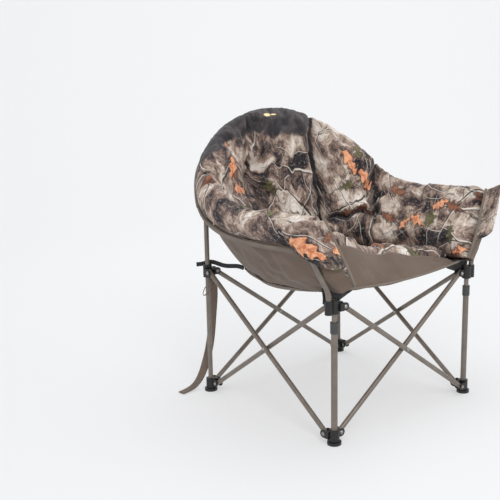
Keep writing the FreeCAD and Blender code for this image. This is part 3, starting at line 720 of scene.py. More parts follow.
def powder_coat():
    """Satin taupe powder coat: orange peel, faint handling marks and dust."""
    s = Shader("powder_coat")
    place = s.rest_place()
    cloud = s.noise(place, 24.0, 4.0, 0.6)
    colour = s.mix(s.between(cloud, 0.35, 0.75), (0.170, 0.142, 0.117), (0.222, 0.189, 0.160))
    marks = s.between(s.noise(place * (40.0, 40.0, 4.0), 6.0, 4.0, 0.7), 0.64, 0.72)
    colour = s.mix(marks * 0.25, colour, (0.30, 0.28, 0.25))
    normal = s.bump(s.noise(place, 900.0, 2.0), 0.0004, 0.35)
    roughness = cloud * 0.20 + 0.24
    return s.finish(colour, roughness, normal, Metallic=0.35, Coat_Weight=0.15, Coat_Roughness=0.35)


def moulded_plastic(name, dark, light, roughness):
    """Moulded nylon: fine spark texture, scuffs that show paler, and a little dust."""
    s = Shader(name)
    place = s.rest_place()
    scuffs = s.between(s.noise(place, 75.0, 5.0, 0.75), 0.56, 0.74)
    colour = s.mix(scuffs * 0.5, dark, light)
    normal = s.bump(s.noise(place, 1600.0, 2.0, 0.7), 0.0003, 0.5)
    return s.finish(colour, scuffs * 0.2 + roughness, normal, Specular_IOR_Level=0.45)


def rivet_steel():
    """Zinc-plated steel with fine spun marks."""
    s = Shader("rivet_steel")
    place = s.rest_place()
    tarnish = s.noise(place, 140.0, 4.0, 0.6)
    colour = s.mix(s.between(tarnish, 0.35, 0.75), (0.24, 0.235, 0.225), (0.46, 0.45, 0.43))
    normal = s.bump(s.noise(place, 1200.0, 3.0, 0.7), 0.0002, 0.4)
    return s.finish(colour, tarnish * 0.25 + 0.16, normal, Metallic=1.0)


def brushed_brass():
    """The little plate on the back: brushed and slightly dulled."""
    s = Shader("badge_metal")
    brushed = s.noise(s.rest_place() * (60.0, 900.0, 900.0), 3.0, 3.0)
    colour = s.mix(brushed, (0.42, 0.33, 0.17), (0.72, 0.62, 0.38))
    return s.finish(colour, 0.35, s.bump(brushed, 0.0002, 0.5), Metallic=1.0)


def studio_floor():
    """Pale seamless backdrop, faintly lit from behind so that shadows on it stay soft."""
    s = Shader("studio_floor")
    grain = s.noise(s.rest_place(), 220.0, 3.0)
    colour = s.mix(grain, (0.41, 0.412, 0.415), (0.43, 0.432, 0.436))
    normal = s.bump(grain, 0.0005, 0.1)
    return s.finish(colour, 0.9, normal, Emission_Color=SKY_COLOUR, Emission_Strength=0.44)


TAPE_DARK, TAPE_LIGHT = (0.175, 0.142, 0.112), (0.235, 0.195, 0.158)
MATERIALS = {
    "liner_print": liner_print(),
    "outer_fabric": plain_cloth("outer_fabric", (0.135, 0.092, 0.066), (0.182, 0.127, 0.093), 620.0),
    "binding_tape": plain_cloth("binding_tape", TAPE_DARK, TAPE_LIGHT, 800.0, crumple=0.2),
    "brown_webbing": webbing("brown_webbing", (0.070, 0.048, 0.035), (0.190, 0.142, 0.108)),
    "black_webbing": webbing("black_webbing", (0.008, 0.008, 0.009), (0.034, 0.034, 0.036)),
    "powder_coat": powder_coat(),
    "black_plastic": moulded_plastic("black_plastic", (0.012, 0.012, 0.013), (0.050, 0.050, 0.052), 0.42),
    "grey_plastic": moulded_plastic("grey_plastic", (0.050, 0.054, 0.052), (0.100, 0.105, 0.100), 0.45),
    "rivet_steel": rivet_steel(),
    "badge_metal": brushed_brass(),
    "studio_floor": studio_floor(),
}
SLOT_OF = {row["node"]: row["material_slot"] for row in frame["record"]["subparts"]}


def paint(piece, name):
    """Gives a piece one material."""
    piece.data.materials.clear()
    piece.data.materials.append(MATERIALS[name])
    return piece


def dress_frame():
    """Materials and softened edges for the CAD parts that stay."""
    for node, piece in NODES.items():
        name = SLOT_OF[node]
        piece.data.materials.clear()
        piece.data.materials.append(MATERIALS[name])
        if name in ("black_plastic", "grey_plastic"):
            bevel = piece.modifiers.new("soft edges", "BEVEL")
            bevel.width = 0.0012
            bevel.segments = 2
            bevel.limit_method = "ANGLE"
            bevel.angle_limit = math.radians(35)
            bevel.harden_normals = False


# --- Camera, light and floor -----------------------------------------------------------------


CAMERA_PLACE = (-2.044, -2.108 + LEGS_Y, 1.136)
CAMERA_AZIMUTH, CAMERA_ELEVATION = math.radians(-43.87), math.radians(12.13)
CAMERA_LENS = 63.7
CAMERA_SHIFT = -0.166


def make_camera():
    """The camera stands ahead of the chair, off its right front leg."""
    data = bpy.data.cameras.new("camera")
    camera = bpy.data.objects.new("camera", data)
    COLLECTION.objects.link(camera)
    level = math.cos(CAMERA_ELEVATION)
    sideways, ahead = math.sin(CAMERA_AZIMUTH) * level, math.cos(CAMERA_AZIMUTH) * level
    back = Vector((sideways, -ahead, math.sin(CAMERA_ELEVATION)))
    camera.location = CAMERA_PLACE
    camera.rotation_mode = "QUATERNION"
    camera.rotation_quaternion = (-back).to_track_quat("-Z", "Y")
    data.sensor_width = 36.0
    data.lens = CAMERA_LENS
    data.shift_x = CAMERA_SHIFT
    bpy.context.scene.camera = camera


def add_area(name, place, target, size, power):
    """A soft square light that faces a point."""
    data = bpy.data.lights.new(name, "AREA")
    data.size, data.energy = size, power
    light = bpy.data.objects.new(name, data)
    COLLECTION.objects.link(light)
    light.location = place
    light.rotation_mode = "QUATERNION"
    light.rotation_quaternion = (Vector(target) - Vector(place)).to_track_quat("-Z", "Y")


FLOOR_RADIUS = 3.2
COVE_RADIUS = 1.6
BACKDROP_TOP = 3.4
SKY_STRENGTH = 0.77
# Place, the point it faces, size and power.
LIGHTS = {
    "key": ((-1.5, -2.5, 2.6), (0, 0, 0.5), 1.4, 42),
    "top": ((0.3, 0.2, 3.0), (0, 0, 0.5), 1.8, 17),
    "backdrop": ((1.5, 1.6, 3.2), (3.3, 3.5, 0.9), 2.6, 30),
}


def make_studio():
    """Plain pale floor that sweeps up into a round backdrop, and soft light from above and both sides."""
    profile = [(FLOOR_RADIUS * n / 8, 0.0) for n in range(9)]
    for n in range(1, 13):
        angle = math.radians(90 * n / 12)
        profile.append((FLOOR_RADIUS + COVE_RADIUS * math.sin(angle), COVE_RADIUS * (1 - math.cos(angle))))
    profile.append((FLOOR_RADIUS + COVE_RADIUS, BACKDROP_TOP))
    sides = 96
    verts = []
    for n in range(sides + 1):
        turn = 2 * math.pi * n / sides
        verts += [(r * math.cos(turn), r * math.sin(turn), z - 0.0005) for r, z in profile]
    floor = new_mesh("floor", verts, grid_faces(sides + 1, len(profile), True))
    floor.data.materials.append(MATERIALS["studio_floor"])
    world = bpy.data.worlds.new("world")
    world.use_nodes = True
    background = world.node_tree.nodes["Background"].inputs
    background["Color"].default_value = (*SKY_COLOUR, 1)
    background["Strength"].default_value = SKY_STRENGTH
    bpy.context.scene.world = world
    for name, light in LIGHTS.items():
        add_area(name, *light)


make_camera()
make_studio()
dress_frame()
bpy.context.scene.view_settings.view_transform = "Standard"

# --- Carry strap, made first -----------------------------------------------------------------

STRAP_ROUTE = [
    (-0.280, 0.328, 0.400),
    (-0.272, 0.334, 0.350),
    (-0.273, 0.339, 0.300),
    (-0.277, 0.342, 0.250),
    (-0.281, 0.344, 0.200),
    (-0.289, 0.345, 0.152),
    (-0.303, 0.346, 0.104),
    (-0.319, 0.348, 0.060),
    (-0.341, 0.353, 0.022),
    (-0.372, 0.356, 0.004),
    (-0.412, 0.352, 0.003),
]
STRAP_WIDTH = 0.028
STRAP_THICK = 0.0026


def ribbon(name, line, across, width, thick, curl=0.0):
    """A woven band along a line: `across` points along its width at each step."""
    heading = unit(np.gradient(line, axis=0))
    across = square_to(across, heading)
    facing = np.cross(heading, across)
    steps = np.linspace(-1, 1, 7)
    mid = line[:, None] + across[:, None] * (steps[None, :, None] * width / 2)
    mid = mid + facing[:, None] * (curl * (steps[None, :, None] ** 2 - 0.3))
    shift = facing[:, None] * thick / 2
    prints = np.zeros((len(line), len(steps), 3))
    prints[..., 0] = distances(line)[:, None]
    prints[..., 1] = steps * width / 2
    return slab(name, mid - shift, mid + shift, prints)


def smooth_line(route):
    """Points along the NURBS line that has a route's points as its control points."""
    curve = bpy.data.curves.new("route", "CURVE")
    curve.dimensions = "3D"
    curve.resolution_u = 12
    spline = curve.splines.new("NURBS")
    spline.points.add(len(route) - 1)
    for point, place in zip(spline.points, route):
        point.co = (*place, 1)
    spline.order_u = 3
    spline.use_endpoint_u = True
    holder = bpy.data.objects.new("route", curve)
    mesh = bpy.data.meshes.new_from_object(holder)
    line = np.array([vertex.co[:] for vertex in mesh.vertices])
    bpy.data.objects.remove(holder)
    bpy.data.curves.remove(curve)
    bpy.data.meshes.remove(mesh)
    return line


def make_strap():
    """The carry strap hangs from the rear right leg and curls out on the floor."""
    line = smooth_line([(x, y + LEGS_Y, z) for x, y, z in STRAP_ROUTE])
    lie = smooth(0.06 - line[:, 2], -0.03, 0.05)[:, None]
    hanging, lying = np.array([0.55, -0.83, 0.0]), np.array([0.18, -1.0, 0.0])
    across = hanging * (1 - lie) + lying * lie
    strap = ribbon("carry_strap_cloth", line, across, STRAP_WIDTH, STRAP_THICK, curl=0.0006)
    paint(strap, "brown_webbing")
    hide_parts("carry_strap")
    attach(strap, "rear_right_leg")


make_strap()

# --- Padded liner ----------------------------------------------------------------------------

PANEL_STEP = 0.0080
ROLL_SHARE = 0.70
ROLL_DROP = 0.050
BACK_ROLL = Spline(
    [(0.050, 0.0), (0.024, -0.003), (0.000, -0.001), (-0.011, 0.012), (-0.002, 0.028), (0.022, 0.032)]
)
ARM_ROLL = Spline(
    [(0.050, -0.004), (0.024, -0.004), (0.003, 0.008), (0.001, 0.034), (0.026, 0.053), (0.064, 0.051)]
)
BACK_INSIDE = Spline(
    [(0.050, 0.026), (0.036, 0.022), (0.024, 0.018), (0.020, 0.020), (0.020, 0.026), (0.022, 0.032)]
)
ARM_INSIDE = Spline(
    [(0.050, 0.036), (0.042, 0.035), (0.034, 0.034), (0.036, 0.040), (0.046, 0.045), (0.064, 0.051)]
)


def wall_height(station):
    """The wall's height at a station."""
    return np.linalg.norm(CREST_CURVE(MIDDLE + station) - FOOT_CURVE(MIDDLE + station), axis=-1)


def hidden_depth(station, rise):
    """How far the liner's hidden side lies behind its face."""
    arms = smooth(np.abs(station), 4.0, 5.5)
    edge = 0.45 + 0.45 * arms
    middle = 1 - np.abs(2 * np.clip(rise, 0, 1) - 1) ** 3
    return PAD_DEPTH * (edge + (1 - edge) * middle)


def liner_lines(station, t, hidden):
    """Rise and depth of the liner's face or hidden side; t runs from its foot, 0, to the tape, 1."""
    height = wall_height(station)
    arms = arm_share(station)[..., None]
    q = np.clip((t - ROLL_SHARE) / (1 - ROLL_SHARE), 0, 1) * 5
    one, two = (BACK_INSIDE, ARM_INSIDE) if hidden else (BACK_ROLL, ARM_ROLL)
    roll = (1 - arms) * one(q) + arms * two(q)
    below = np.where(t < ROLL_SHARE, height - (height - ROLL_DROP) * t / ROLL_SHARE, roll[..., 0])
    rise = 1 - below / height
    depth = roll[..., 1]
    if hidden:
        start = smooth(t, ROLL_SHARE - 0.2, ROLL_SHARE)
        depth = hidden_depth(station, rise) * (1 - start) + depth * start
    return rise, depth


ARC_STATIONS = np.linspace(-LAST_STATION, LAST_STATION, 361)
ARC_ALONG = distances(wall(ARC_STATIONS, 0.6, 0.0))
ARC_ALONG -= ARC_ALONG[180]


def arc_at(station):
    """Distance round the wall from the back's middle to a station."""
    return np.interp(station, ARC_STATIONS, ARC_ALONG)


PUFF = 0.025
LAP_PUFF = 0.020
FOLD_DEPTH = 0.034
WRINKLE_DEPTH = 0.0090
DRAPE_DEPTH = 0.0065
TUFT_DEPTH = 0.040
RAY_DEPTH = 0.024
TUFT = (-1.05, 0.62)
# The seam between the back and the left wing, where a line of painted crease shade runs.
CHANNEL_ARC = arc_at(1.72)
# Stations of each panel's two ends, and how far its seam there lies from its hidden side towards its face.
PANELS = {
    "wing_pad_right": (-4.90, -1.08, 0.9, 0.30),
    "back_pad": (-1.16, 1.78, 0.30, 1.0),
    "wing_pad_left": (1.66, 4.92, 1.0, 0.9),
    "arm_pad_right": (-9.0, -4.72, 0.25, 0.9),
    "arm_pad_left": (4.72, 9.0, 0.9, 0.25),
}


def tuft_pull(points):
    """1 at the tuft of the back, fading round it, and its radiating creases."""
    centre = wall(TUFT[0], TUFT[1], 0.0)
    away = points - centre
    distance = np.linalg.norm(away, axis=-1)
    angle = np.arctan2(away[..., 2], away[..., 0] + 0.4 * away[..., 1])
    rays = np.abs(np.sin(2.5 * angle + 0.6)) ** 6
    rays = (1 - rays) * smooth(distance, 0.0, 0.03) * np.exp(-((distance / 0.15) ** 2))
    return np.exp(-((distance / 0.030) ** 2)), rays


def lap_fold(station, height):
    """The fold low in the back, where the liner turns onto the seat, and the puffed part below it."""
    line = 0.105 + 0.030 * smooth(station, 2.8, 4.8) - 0.012 * smooth(-station, 0.0, 2.0)
    share = smooth(station, -3.2, -1.4)
    away = height - line - 0.006 * np.sin(5.1 * station + 1.0)
    share = share * (1 - smooth(station, 4.9, 5.6))
    return crease(away, 0.012) * share, smooth(-away, 0.0, 0.04) * share


def border_of(grid):
    """Which points of a grid are on its border."""
    border = np.ones(grid.shape[:2], bool)
    border[1:-1, 1:-1] = False
    return border


def pin_weights(piece, face):
    """How firmly each point is held while the panel fills: the face as given, the hidden side fully."""
    pins = np.ones(len(piece.data.vertices))
    pins[: face.size] = face.ravel()
    return pins


def dark_band_and_crease_shade(station, t, arc):
    """How much of the back's dark top band shows at each point, and the painted shade of the deep crease
    along the seam beside it.
    """
    dark_from = 0.61 - 0.05 * np.exp(-((station - 0.2) ** 2)) + 0.10 * smooth(-station, 1.0, 3.5)
    band = smooth(t - dark_from, 0.0, 0.16) * (1 - smooth(station, 1.3, 1.8)) * smooth(station, -4.6, -3.2)
    # The dark line along the seam between the back and the left wing is painted shade of its deep crease.
    return np.maximum(band, 0.95 * crease(arc - CHANNEL_ARC, 0.010))


def liner_panel(name):
    """One padded panel of the liner: closed, pinched along its seams, puffed between them."""
    start, end, pinch_start, pinch_end = PANELS[name]
    columns = int((arc_at(end) - arc_at(start)) / PANEL_STEP) + 1
    rows = 58 if "arm" not in name else 46
    station, t = np.meshgrid(np.linspace(start, end, columns), np.linspace(0, 1, rows))
    face_rise, face_depth = liner_lines(station, t, False)
    hide_rise, hide_depth = liner_lines(station, t, True)
    arc = arc_at(station)
    side_start, side_end = arc - arc_at(start), arc_at(end) - arc
    foot = np.clip(face_rise, 0, 1) * wall_height(station)
    seam_width = 0.050 - 0.022 * smooth(t, 0.65, 0.85)
    open_share = crown(np.minimum(side_start, side_end), seam_width) * crown(foot + 0.001, 0.045)
    upper = 1 - smooth(t, 0.80, 0.98)
    fold, below_fold = lap_fold(station, foot)
    puff = PUFF * open_share * upper - FOLD_DEPTH * fold * open_share + LAP_PUFF * below_fold * open_share
    face = wall(station, face_rise, face_depth - puff)
    hidden = wall(station, hide_rise, hide_depth)
    pulled, rays = tuft_pull(face)
    wrinkle = fractal(face * np.array([1.0, 1.0, 0.8]), 17.0, 3, 4.0)
    drape = fractal(face * np.array([1.3, 1.3, 0.35]), 24.0, 2, 9.0)
    shift = (WRINKLE_DEPTH * wrinkle + DRAPE_DEPTH * drape) * open_share * upper
    shift = shift + TUFT_DEPTH * pulled + RAY_DEPTH * rays
    face = wall(station, face_rise, face_depth - puff + shift)
    towards_start = side_end / (side_start + side_end)
    pinch = 0.25 + 0.60 * (pinch_start * towards_start + pinch_end * (1 - towards_start))
    seam = face + (hidden - face) * pinch[..., None]
    face = seam + (face - seam) * open_share[..., None]
    to_seam = np.minimum(np.minimum(side_start, side_end), foot)
    hidden = seam + (hidden - seam) * crown(to_seam, 0.02)[..., None]
    up = np.cumsum(np.linalg.norm(np.diff(face, axis=0, prepend=face[:1]), axis=2), axis=0)
    prints = np.stack([arc, up, np.zeros_like(arc)], axis=-1)
    piece = pillow(name + "_cloth", face, hidden, prints)
    put_band_and_crease_shade(piece, dark_band_and_crease_shade(station, t, arc))
    held = np.where(border_of(face) | (pulled > 0.35), 1.0, 0.85 * smooth(t, 0.76, 0.90))
    return piece, pin_weights(piece, held)


def put_band_and_crease_shade(piece, face=np.zeros(0)):
    """Stores how much of the dark band and of the painted crease shade shows at each point: the face's share,
    and none behind it.
    """
    shares = np.zeros(len(piece.data.vertices), np.float32)
    shares[: face.size] = face.ravel()
    # The band attribute carries the dark band and the painted shade of the seam crease.
    piece.data.attributes.new("band", "FLOAT", "POINT").data.foreach_set("value", shares)


SETTLE_FRAMES = 20
SETTLE_REACH = 0.022
SETTLE_CLOTH = {
    "quality": 5,
    "mass": 0.25,
    "tension_stiffness": 12,
    "compression_stiffness": 12,
    "shear_stiffness": 4,
    "bending_stiffness": 0.12,
    "air_damping": 4,
    "use_pressure": True,
    "uniform_pressure_force": 4.0,
}


def settle(piece, pins, growth):
    """Fills a closed cloth form with air for a moment, so that it puffs and wrinkles like a stuffed panel."""
    rest = np.empty(len(piece.data.vertices) * 3)
    piece.data.vertices.foreach_get("co", rest)
    rest = rest.reshape(-1, 3)
    group = piece.vertex_groups.new(name="held")
    for index in np.flatnonzero(pins > 0):
        group.add([int(index)], float(pins[index]), "REPLACE")
    cloth = piece.modifiers.new("cloth", "CLOTH")
    for key, value in SETTLE_CLOTH.items():
        setattr(cloth.settings, key, value)
    cloth.settings.shrink_min = cloth.settings.shrink_max = -growth
    cloth.settings.vertex_group_mass = group.name
    cloth.settings.effector_weights.gravity = 0
    cloth.collision_settings.use_collision = False
    cloth.collision_settings.use_self_collision = False
    cloth.point_cache.frame_start, cloth.point_cache.frame_end = 1, SETTLE_FRAMES
    scene = bpy.context.scene
    for frame_number in range(1, SETTLE_FRAMES + 1):
        scene.frame_set(frame_number)
    graph = bpy.context.evaluated_depsgraph_get()
    moved = np.empty(len(piece.data.vertices) * 3)
    piece.evaluated_get(graph).data.vertices.foreach_get("co", moved)
    step = moved.reshape(-1, 3) - rest
    length = np.linalg.norm(step, axis=1, keepdims=True)
    step = step * np.minimum(1, SETTLE_REACH / np.maximum(length, 1e-9))
    piece.modifiers.remove(cloth)
    piece.data.vertices.foreach_set("co", (rest + step).ravel())
    piece.data.update()
    scene.frame_set(1)


def dress_padded(piece, node):
    """Smooths a printed, padded piece that stands in a CAD node's place."""
    modifier = piece.modifiers.new("smooth", "SUBSURF")
    modifier.levels = modifier.render_levels = 1
    paint(piece, "liner_print")
    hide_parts(node)


def fold_with_arm(piece):
    """Fabric of an arm: bakes its place into its mesh; it is not attached to any part."""
    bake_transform(piece)


def fold_across(piece, body):
    """Fabric slung between the legs: attaches it to one part and gives it a mesh of its own."""
    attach(piece, body)
    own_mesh(piece)


def make_liner_walls():
    """The back, the wings and the arms of the liner."""
    for name in PANELS:
        piece, pins = liner_panel(name)
        settle(piece, pins, 0.07)
        dress_padded(piece, name)
        if name.startswith("arm"):
            fold_with_arm(piece)
        else:
            fold_across(piece, "rear_right_leg")


# --- Seat ------------------------------------------------------------------------------------

SEAT_SPLIT = -0.020
SEAT_FRONT = -0.246
SEAT_BACK = 0.214
SEAT_STEP = 0.0075
SEAT_COLUMNS = 64


def seat_half_width(y):
    """Half the seat's width between the wall's feet."""
    stations = np.linspace(0, LAST_STATION, 200)
    foot = FOOT_CURVE(MIDDLE + stations)
    order = np.argsort(foot[:, 1])
    return np.interp(y, foot[order, 1], foot[order, 0]) - 0.004


def front_rise(x, y):
    """The liner rides up on the sitter's right near the front edge."""
    across = 0.021 * smooth(-x, -0.12, 0.0) + 0.095 * smooth(-x, 0.02, 0.28) - 0.009
    return across * smooth(-y, 0.02, 0.24)


def seat_top(x, y):
    """The seat liner's upper face."""
    a = np.minimum(1, np.abs(x) / 0.255)
    front = np.clip((0.040 - y) / 0.275, 0, 1.05) ** 2
    rear = np.maximum((y - 0.060) / 0.160, 0) ** 2
    return 0.430 + 0.024 * a**2 + (0.112 - 0.058 * a**2) * front + 0.016 * rear + front_rise(x, y)


def seat_under(x, y):
    """The outer fabric's line under the seat."""
    a = np.minimum(1, np.abs(x) / 0.300)
    front = np.clip((0.040 - y) / 0.350, 0, 1.1) ** 1.4
    rear = np.maximum((y - 0.060) / 0.160, 0) ** 2
    return 0.383 + 0.034 * a**2 + (0.076 - 0.014 * a**2) * front + 0.022 * rear


def seat_panel(name, rear, front):
    """Half of the seat pad between two lines across the seat."""
    rows = int((rear - front) / SEAT_STEP) + 1
    v, u = np.meshgrid(np.linspace(0, 1, rows), np.linspace(-1, 1, SEAT_COLUMNS), indexing="ij")
    y = rear + (front - rear) * v
    forward = front == SEAT_FRONT
    if forward:
        y = y - 0.030 * u**2 * v
    x = u * seat_half_width(y)
    top = seat_top(x, y)
    under = seat_under(x, y) + 0.012
    edge_side = (1 - np.abs(u)) * 0.25
    edge_front = (1 - v) * (rear - front)
    edge_rear = v * (rear - front)
    rim = crown(edge_side, 0.045) * crown(edge_front, 0.045 if forward else 0.03) * crown(edge_rear, 0.03)
    place = np.stack([x, y, top], axis=-1)
    ripple = fractal(place * np.array([1.0, 0.8, 1.0]), 15.0, 3, 17.0)
    gathers = fractal(place * np.array([1.0, 0.25, 0.0]), 28.0, 2, 3.0) * smooth(-y, 0.10, 0.23)
    top = top + (0.010 + 0.008 * ripple + 0.012 * gathers) * rim
    thick = top - under
    middle = top - thick * (0.55 if forward else 0.35)
    face = np.stack([x, y, middle + (top - middle) * rim], axis=-1)
    low_rim = crown(np.minimum(np.minimum(edge_side, edge_front), edge_rear), 0.02)
    hidden = np.stack([x, y, middle + (under - middle) * low_rim], axis=-1)
    prints = np.stack([x + 3.0, y, np.zeros_like(x)], axis=-1)
    piece = pillow(name + "_cloth", face, hidden, prints)
    put_band_and_crease_shade(piece)
    return piece, pin_weights(piece, border_of(face))


def make_seat():
    """The seat liner in its two halves."""
    for half, rear, front in (("rear", SEAT_BACK, SEAT_SPLIT), ("front", SEAT_SPLIT, SEAT_FRONT)):
        piece, pins = seat_panel(f"seat_pad_{half}", rear, front)
        settle(piece, pins, 0.08)
        dress_padded(piece, f"seat_pad_{half}")
        fold_across(piece, f"seat_{half}")


make_liner_walls()
make_seat()

# --- Outer fabric ----------------------------------------------------------------------------

CLOTH_THICK = 0.0022
SHELL_FRONT = -0.308
APRON_HALF_WIDTH = 0.266
APRON_HEM_Y = -0.314
HEM_RADIUS = 0.0032


def flat_prints(grid):
    """Distances along a grid's rows and columns, as its place on the flat cloth."""
    u = np.cumsum(np.linalg.norm(np.diff(grid, axis=1, prepend=grid[:, :1]), axis=2), axis=1)
    v = np.cumsum(np.linalg.norm(np.diff(grid, axis=0, prepend=grid[:1]), axis=2), axis=0)
    return np.stack([u, v, np.zeros_like(u)], axis=-1)


def sheet_piece(node, grid):
    """A stretched panel of outer fabric in a CAD node's place, with its own flat size as its place on the
    cloth.
    """
    shift = normals_of(grid) * CLOTH_THICK / 2
    piece = slab(node + "_cloth", grid - shift, grid + shift, flat_prints(grid))
    paint(piece, "outer_fabric")
    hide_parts(node)
    return piece


def outer_arm(side):
    """The outer fabric of an arm, turned in round the arm's front end."""
    sign = SIGN[side]
    station, t = np.meshgrid(np.linspace(SEAM_STATION - 0.3, LAST_STATION, 62), np.linspace(0, 1, 30))
    height = wall_height(station)
    rise = t * (1 - 0.060 / height)
    apart = smooth(station, SEAM_STATION - 0.3, SEAM_STATION + 0.5)
    depth = hidden_depth(station, rise) + 0.0055 + 0.0085 * apart * smooth(rise, 0.45, 0.75)
    flat = wall(sign * station, rise, depth)
    sag = fractal(flat * np.array([1.0, 0.9, 0.45]), 13.0, 3, 21.0)
    waves = np.sin(4.2 * (station - SEAM_STATION) + 3.5 * t + 4.5 * sag)
    folds = waves * smooth(1 - np.abs(2 * t - 1), 0, 0.5)
    grid = wall(sign * station, rise, depth + 0.006 * sag + 0.0020 * folds)
    inward = []
    for share in np.linspace(0, 1, 8)[1:]:
        around = wall(sign * LAST_STATION, rise[:, -1], depth[:, -1] * (1 - share) + 0.002)
        around[:, 1] -= 0.012 * math.sin(math.pi * share / 2)
        inward.append(around)
    grid = np.concatenate([grid, np.stack(inward, axis=1)], axis=1)
    piece = sheet_piece(f"arm_shell_{side}", grid)
    fold_with_arm(piece)


def outer_back():
    """The outer fabric behind the back and the wings."""
    station, rise = np.meshgrid(np.linspace(-SEAM_STATION, SEAM_STATION, 110), np.linspace(0, 0.985, 50))
    arms = smooth(np.abs(station), 3.8, 4.76)
    rise = rise * (1 - arms * 0.16) - 0.018
    depth = hidden_depth(station, rise) + 0.005 - 0.004 * smooth(np.abs(station), 4.2, 4.7)
    flat = wall(station, rise, depth)
    sag = fractal(flat * np.array([1.0, 1.0, 0.5]), 9.0, 3, 31.0)
    grid = wall(station, rise, depth + 0.005 * sag * (1 - rise**4))
    piece = sheet_piece("back_shell", grid)
    fold_across(piece, "rear_right_leg")


def bowl_rim():
    """The line where the outer fabric of the wall turns under the seat, from the back's middle forward."""
    stations = np.linspace(0.0, LAST_STATION, 160)
    return wall(stations, 0.0, hidden_depth(stations, 0.0) + 0.005)


def outer_seat(end, rear, front):
    """The outer fabric under half of the seat: a shallow bowl that turns up to the wall round its rim."""
    rim = bowl_rim() - np.array([0, LEGS_Y, 0])
    back = rim[:, 1].max() - 0.0005
    rear = back if rear == SEAT_BACK else rear
    turn = np.linspace(0, 1, 40)
    rows = rear + (front - rear) * (turn**2 if rear == back else turn)
    y, u = np.meshgrid(rows, np.linspace(-1, 1, 70), indexing="ij")
    order = np.argsort(rim[:, 1])
    half = np.interp(y, rim[order, 1], rim[order, 0])
    x = u * half
    away = np.sqrt((np.abs(x)[..., None] - rim[:, 0]) ** 2 + (y[..., None] - rim[:, 1]) ** 2)
    rim_z = rim[np.argmin(away, axis=-1), 2]
    near = crown(away.min(axis=-1), 0.11)
    z = rim_z + (seat_under(x, y) - rim_z) * near
    sag = fractal(np.stack([x, y, z], axis=-1) * np.array([0.7, 1.2, 1.0]), 10.0, 3, 41.0)
    grid = np.stack([x, y + LEGS_Y, z - 0.003 * near + 0.005 * sag * near], axis=-1)
    piece = sheet_piece(f"seat_shell_{end}", grid)
    fold_across(piece, f"seat_{end}")


def apron():
    """The plain front panel from the seat liner's front edge down to its hem between the front hubs."""
    v, u = np.meshgrid(np.linspace(0, 1, 26), np.linspace(-1, 1, 70), indexing="ij")
    x = u * APRON_HALF_WIDTH
    y_high = SEAT_FRONT + 0.012 - 0.030 * u**2
    z_high = 0.520 - 0.034 * u**2 + front_rise(x, SEAT_FRONT)
    z_low = 0.458 + 0.016 * u**2
    y = y_high + (APRON_HEM_Y - y_high) * v
    z = z_high + (z_low - z_high) * v
    place = np.stack([x, y + LEGS_Y, z], axis=-1)
    pull = fractal(place * np.array([0.8, 1.5, 1.5]), 11.0, 3, 51.0)
    ridge = np.sin(26 * x + 6 * v + 2.5 * pull)
    bow = (0.007 * pull + 0.003 * ridge - 0.006) * np.sin(math.pi * v)
    grid = place + np.stack([np.zeros_like(bow), bow, bow * 1.2], axis=-1)
    piece = sheet_piece("apron", grid)
    fold_across(piece, "front_right_hub")
    hem = tube_along("apron_hem", grid[-1] + (0, -0.0005, 0.001), HEM_RADIUS)
    paint(hem, "binding_tape")
    fold_across(hem, "front_right_hub")


def make_outer():
    """All of the plain outer fabric."""
    for side in SIGN:
        outer_arm(side)
    outer_back()
    outer_seat("rear", SEAT_BACK, SEAT_SPLIT)
    outer_seat("front", SEAT_SPLIT, SHELL_FRONT)
    apron()


make_outer()

# --- Tape, piping, flaps and small parts -----------------------------------------------------


# Width and thickness.
BACK_TAPE = (0.017, 0.015)
ARM_TAPE = (0.0145, 0.012)
PIPING = (0.0095, 0.008)
PIPING_ROUTE = [
    (0.374, -0.336, 0.700),
    (0.336, -0.345, 0.624),
    (0.298, -0.353, 0.549),
    (0.267, -0.351, 0.492),
]


def band_along(name, line, lean, width, thick, sides=20):
    """A doubled tape along a line: two soft ridges with a groove between them. `lean` is its facing."""
    heading = unit(np.gradient(line, axis=0))
    lean = square_to(lean, heading)
    across = np.cross(heading, lean)
    angle = np.linspace(0, 2 * math.pi, sides, endpoint=False)
    place = np.cos(angle)
    ridge = np.sin(angle) * (0.62 + 0.5 * np.sin(math.pi * np.abs(place)) ** 2)
    rings = line[:, None] + across[:, None] * (place[None, :, None] * width / 2)
    rings = rings + lean[:, None] * (ridge[None, :, None] * thick / 2)
    prints = np.zeros(rings.shape)
    prints[..., 0] = distances(line)[:, None]
    prints[..., 1] = angle * width / math.pi
    return paint(loft(name, rings, prints), "binding_tape")


def tape_line(stations):
    """Where the liner meets the tape, and the way the tape faces."""
    ones = np.ones_like(stations)
    rise, depth = liner_lines(stations, ones, False)
    rise = rise - 0.005 / wall_height(stations)
    gap = 0.010 - 0.003 * crease(np.abs(stations) - 4.3, 0.45)
    line = wall(stations, rise, depth + gap)
    return line, wall(stations, rise, depth + 0.05) - line


def make_tape():
    """The doubled tape round the back and along the outside of both arms."""
    line, facing = tape_line(np.linspace(-SEAM_STATION, SEAM_STATION, 150))
    back = band_along("binding_back_tape", line, facing, *BACK_TAPE)
    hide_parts("binding_back")
    fold_across(back, "rear_right_leg")
    for side, sign in SIGN.items():
        line, facing = tape_line(sign * np.linspace(SEAM_STATION, 8.35, 70))
        tape = band_along(f"binding_arm_{side}", line, facing, *ARM_TAPE)
        fold_with_arm(tape)


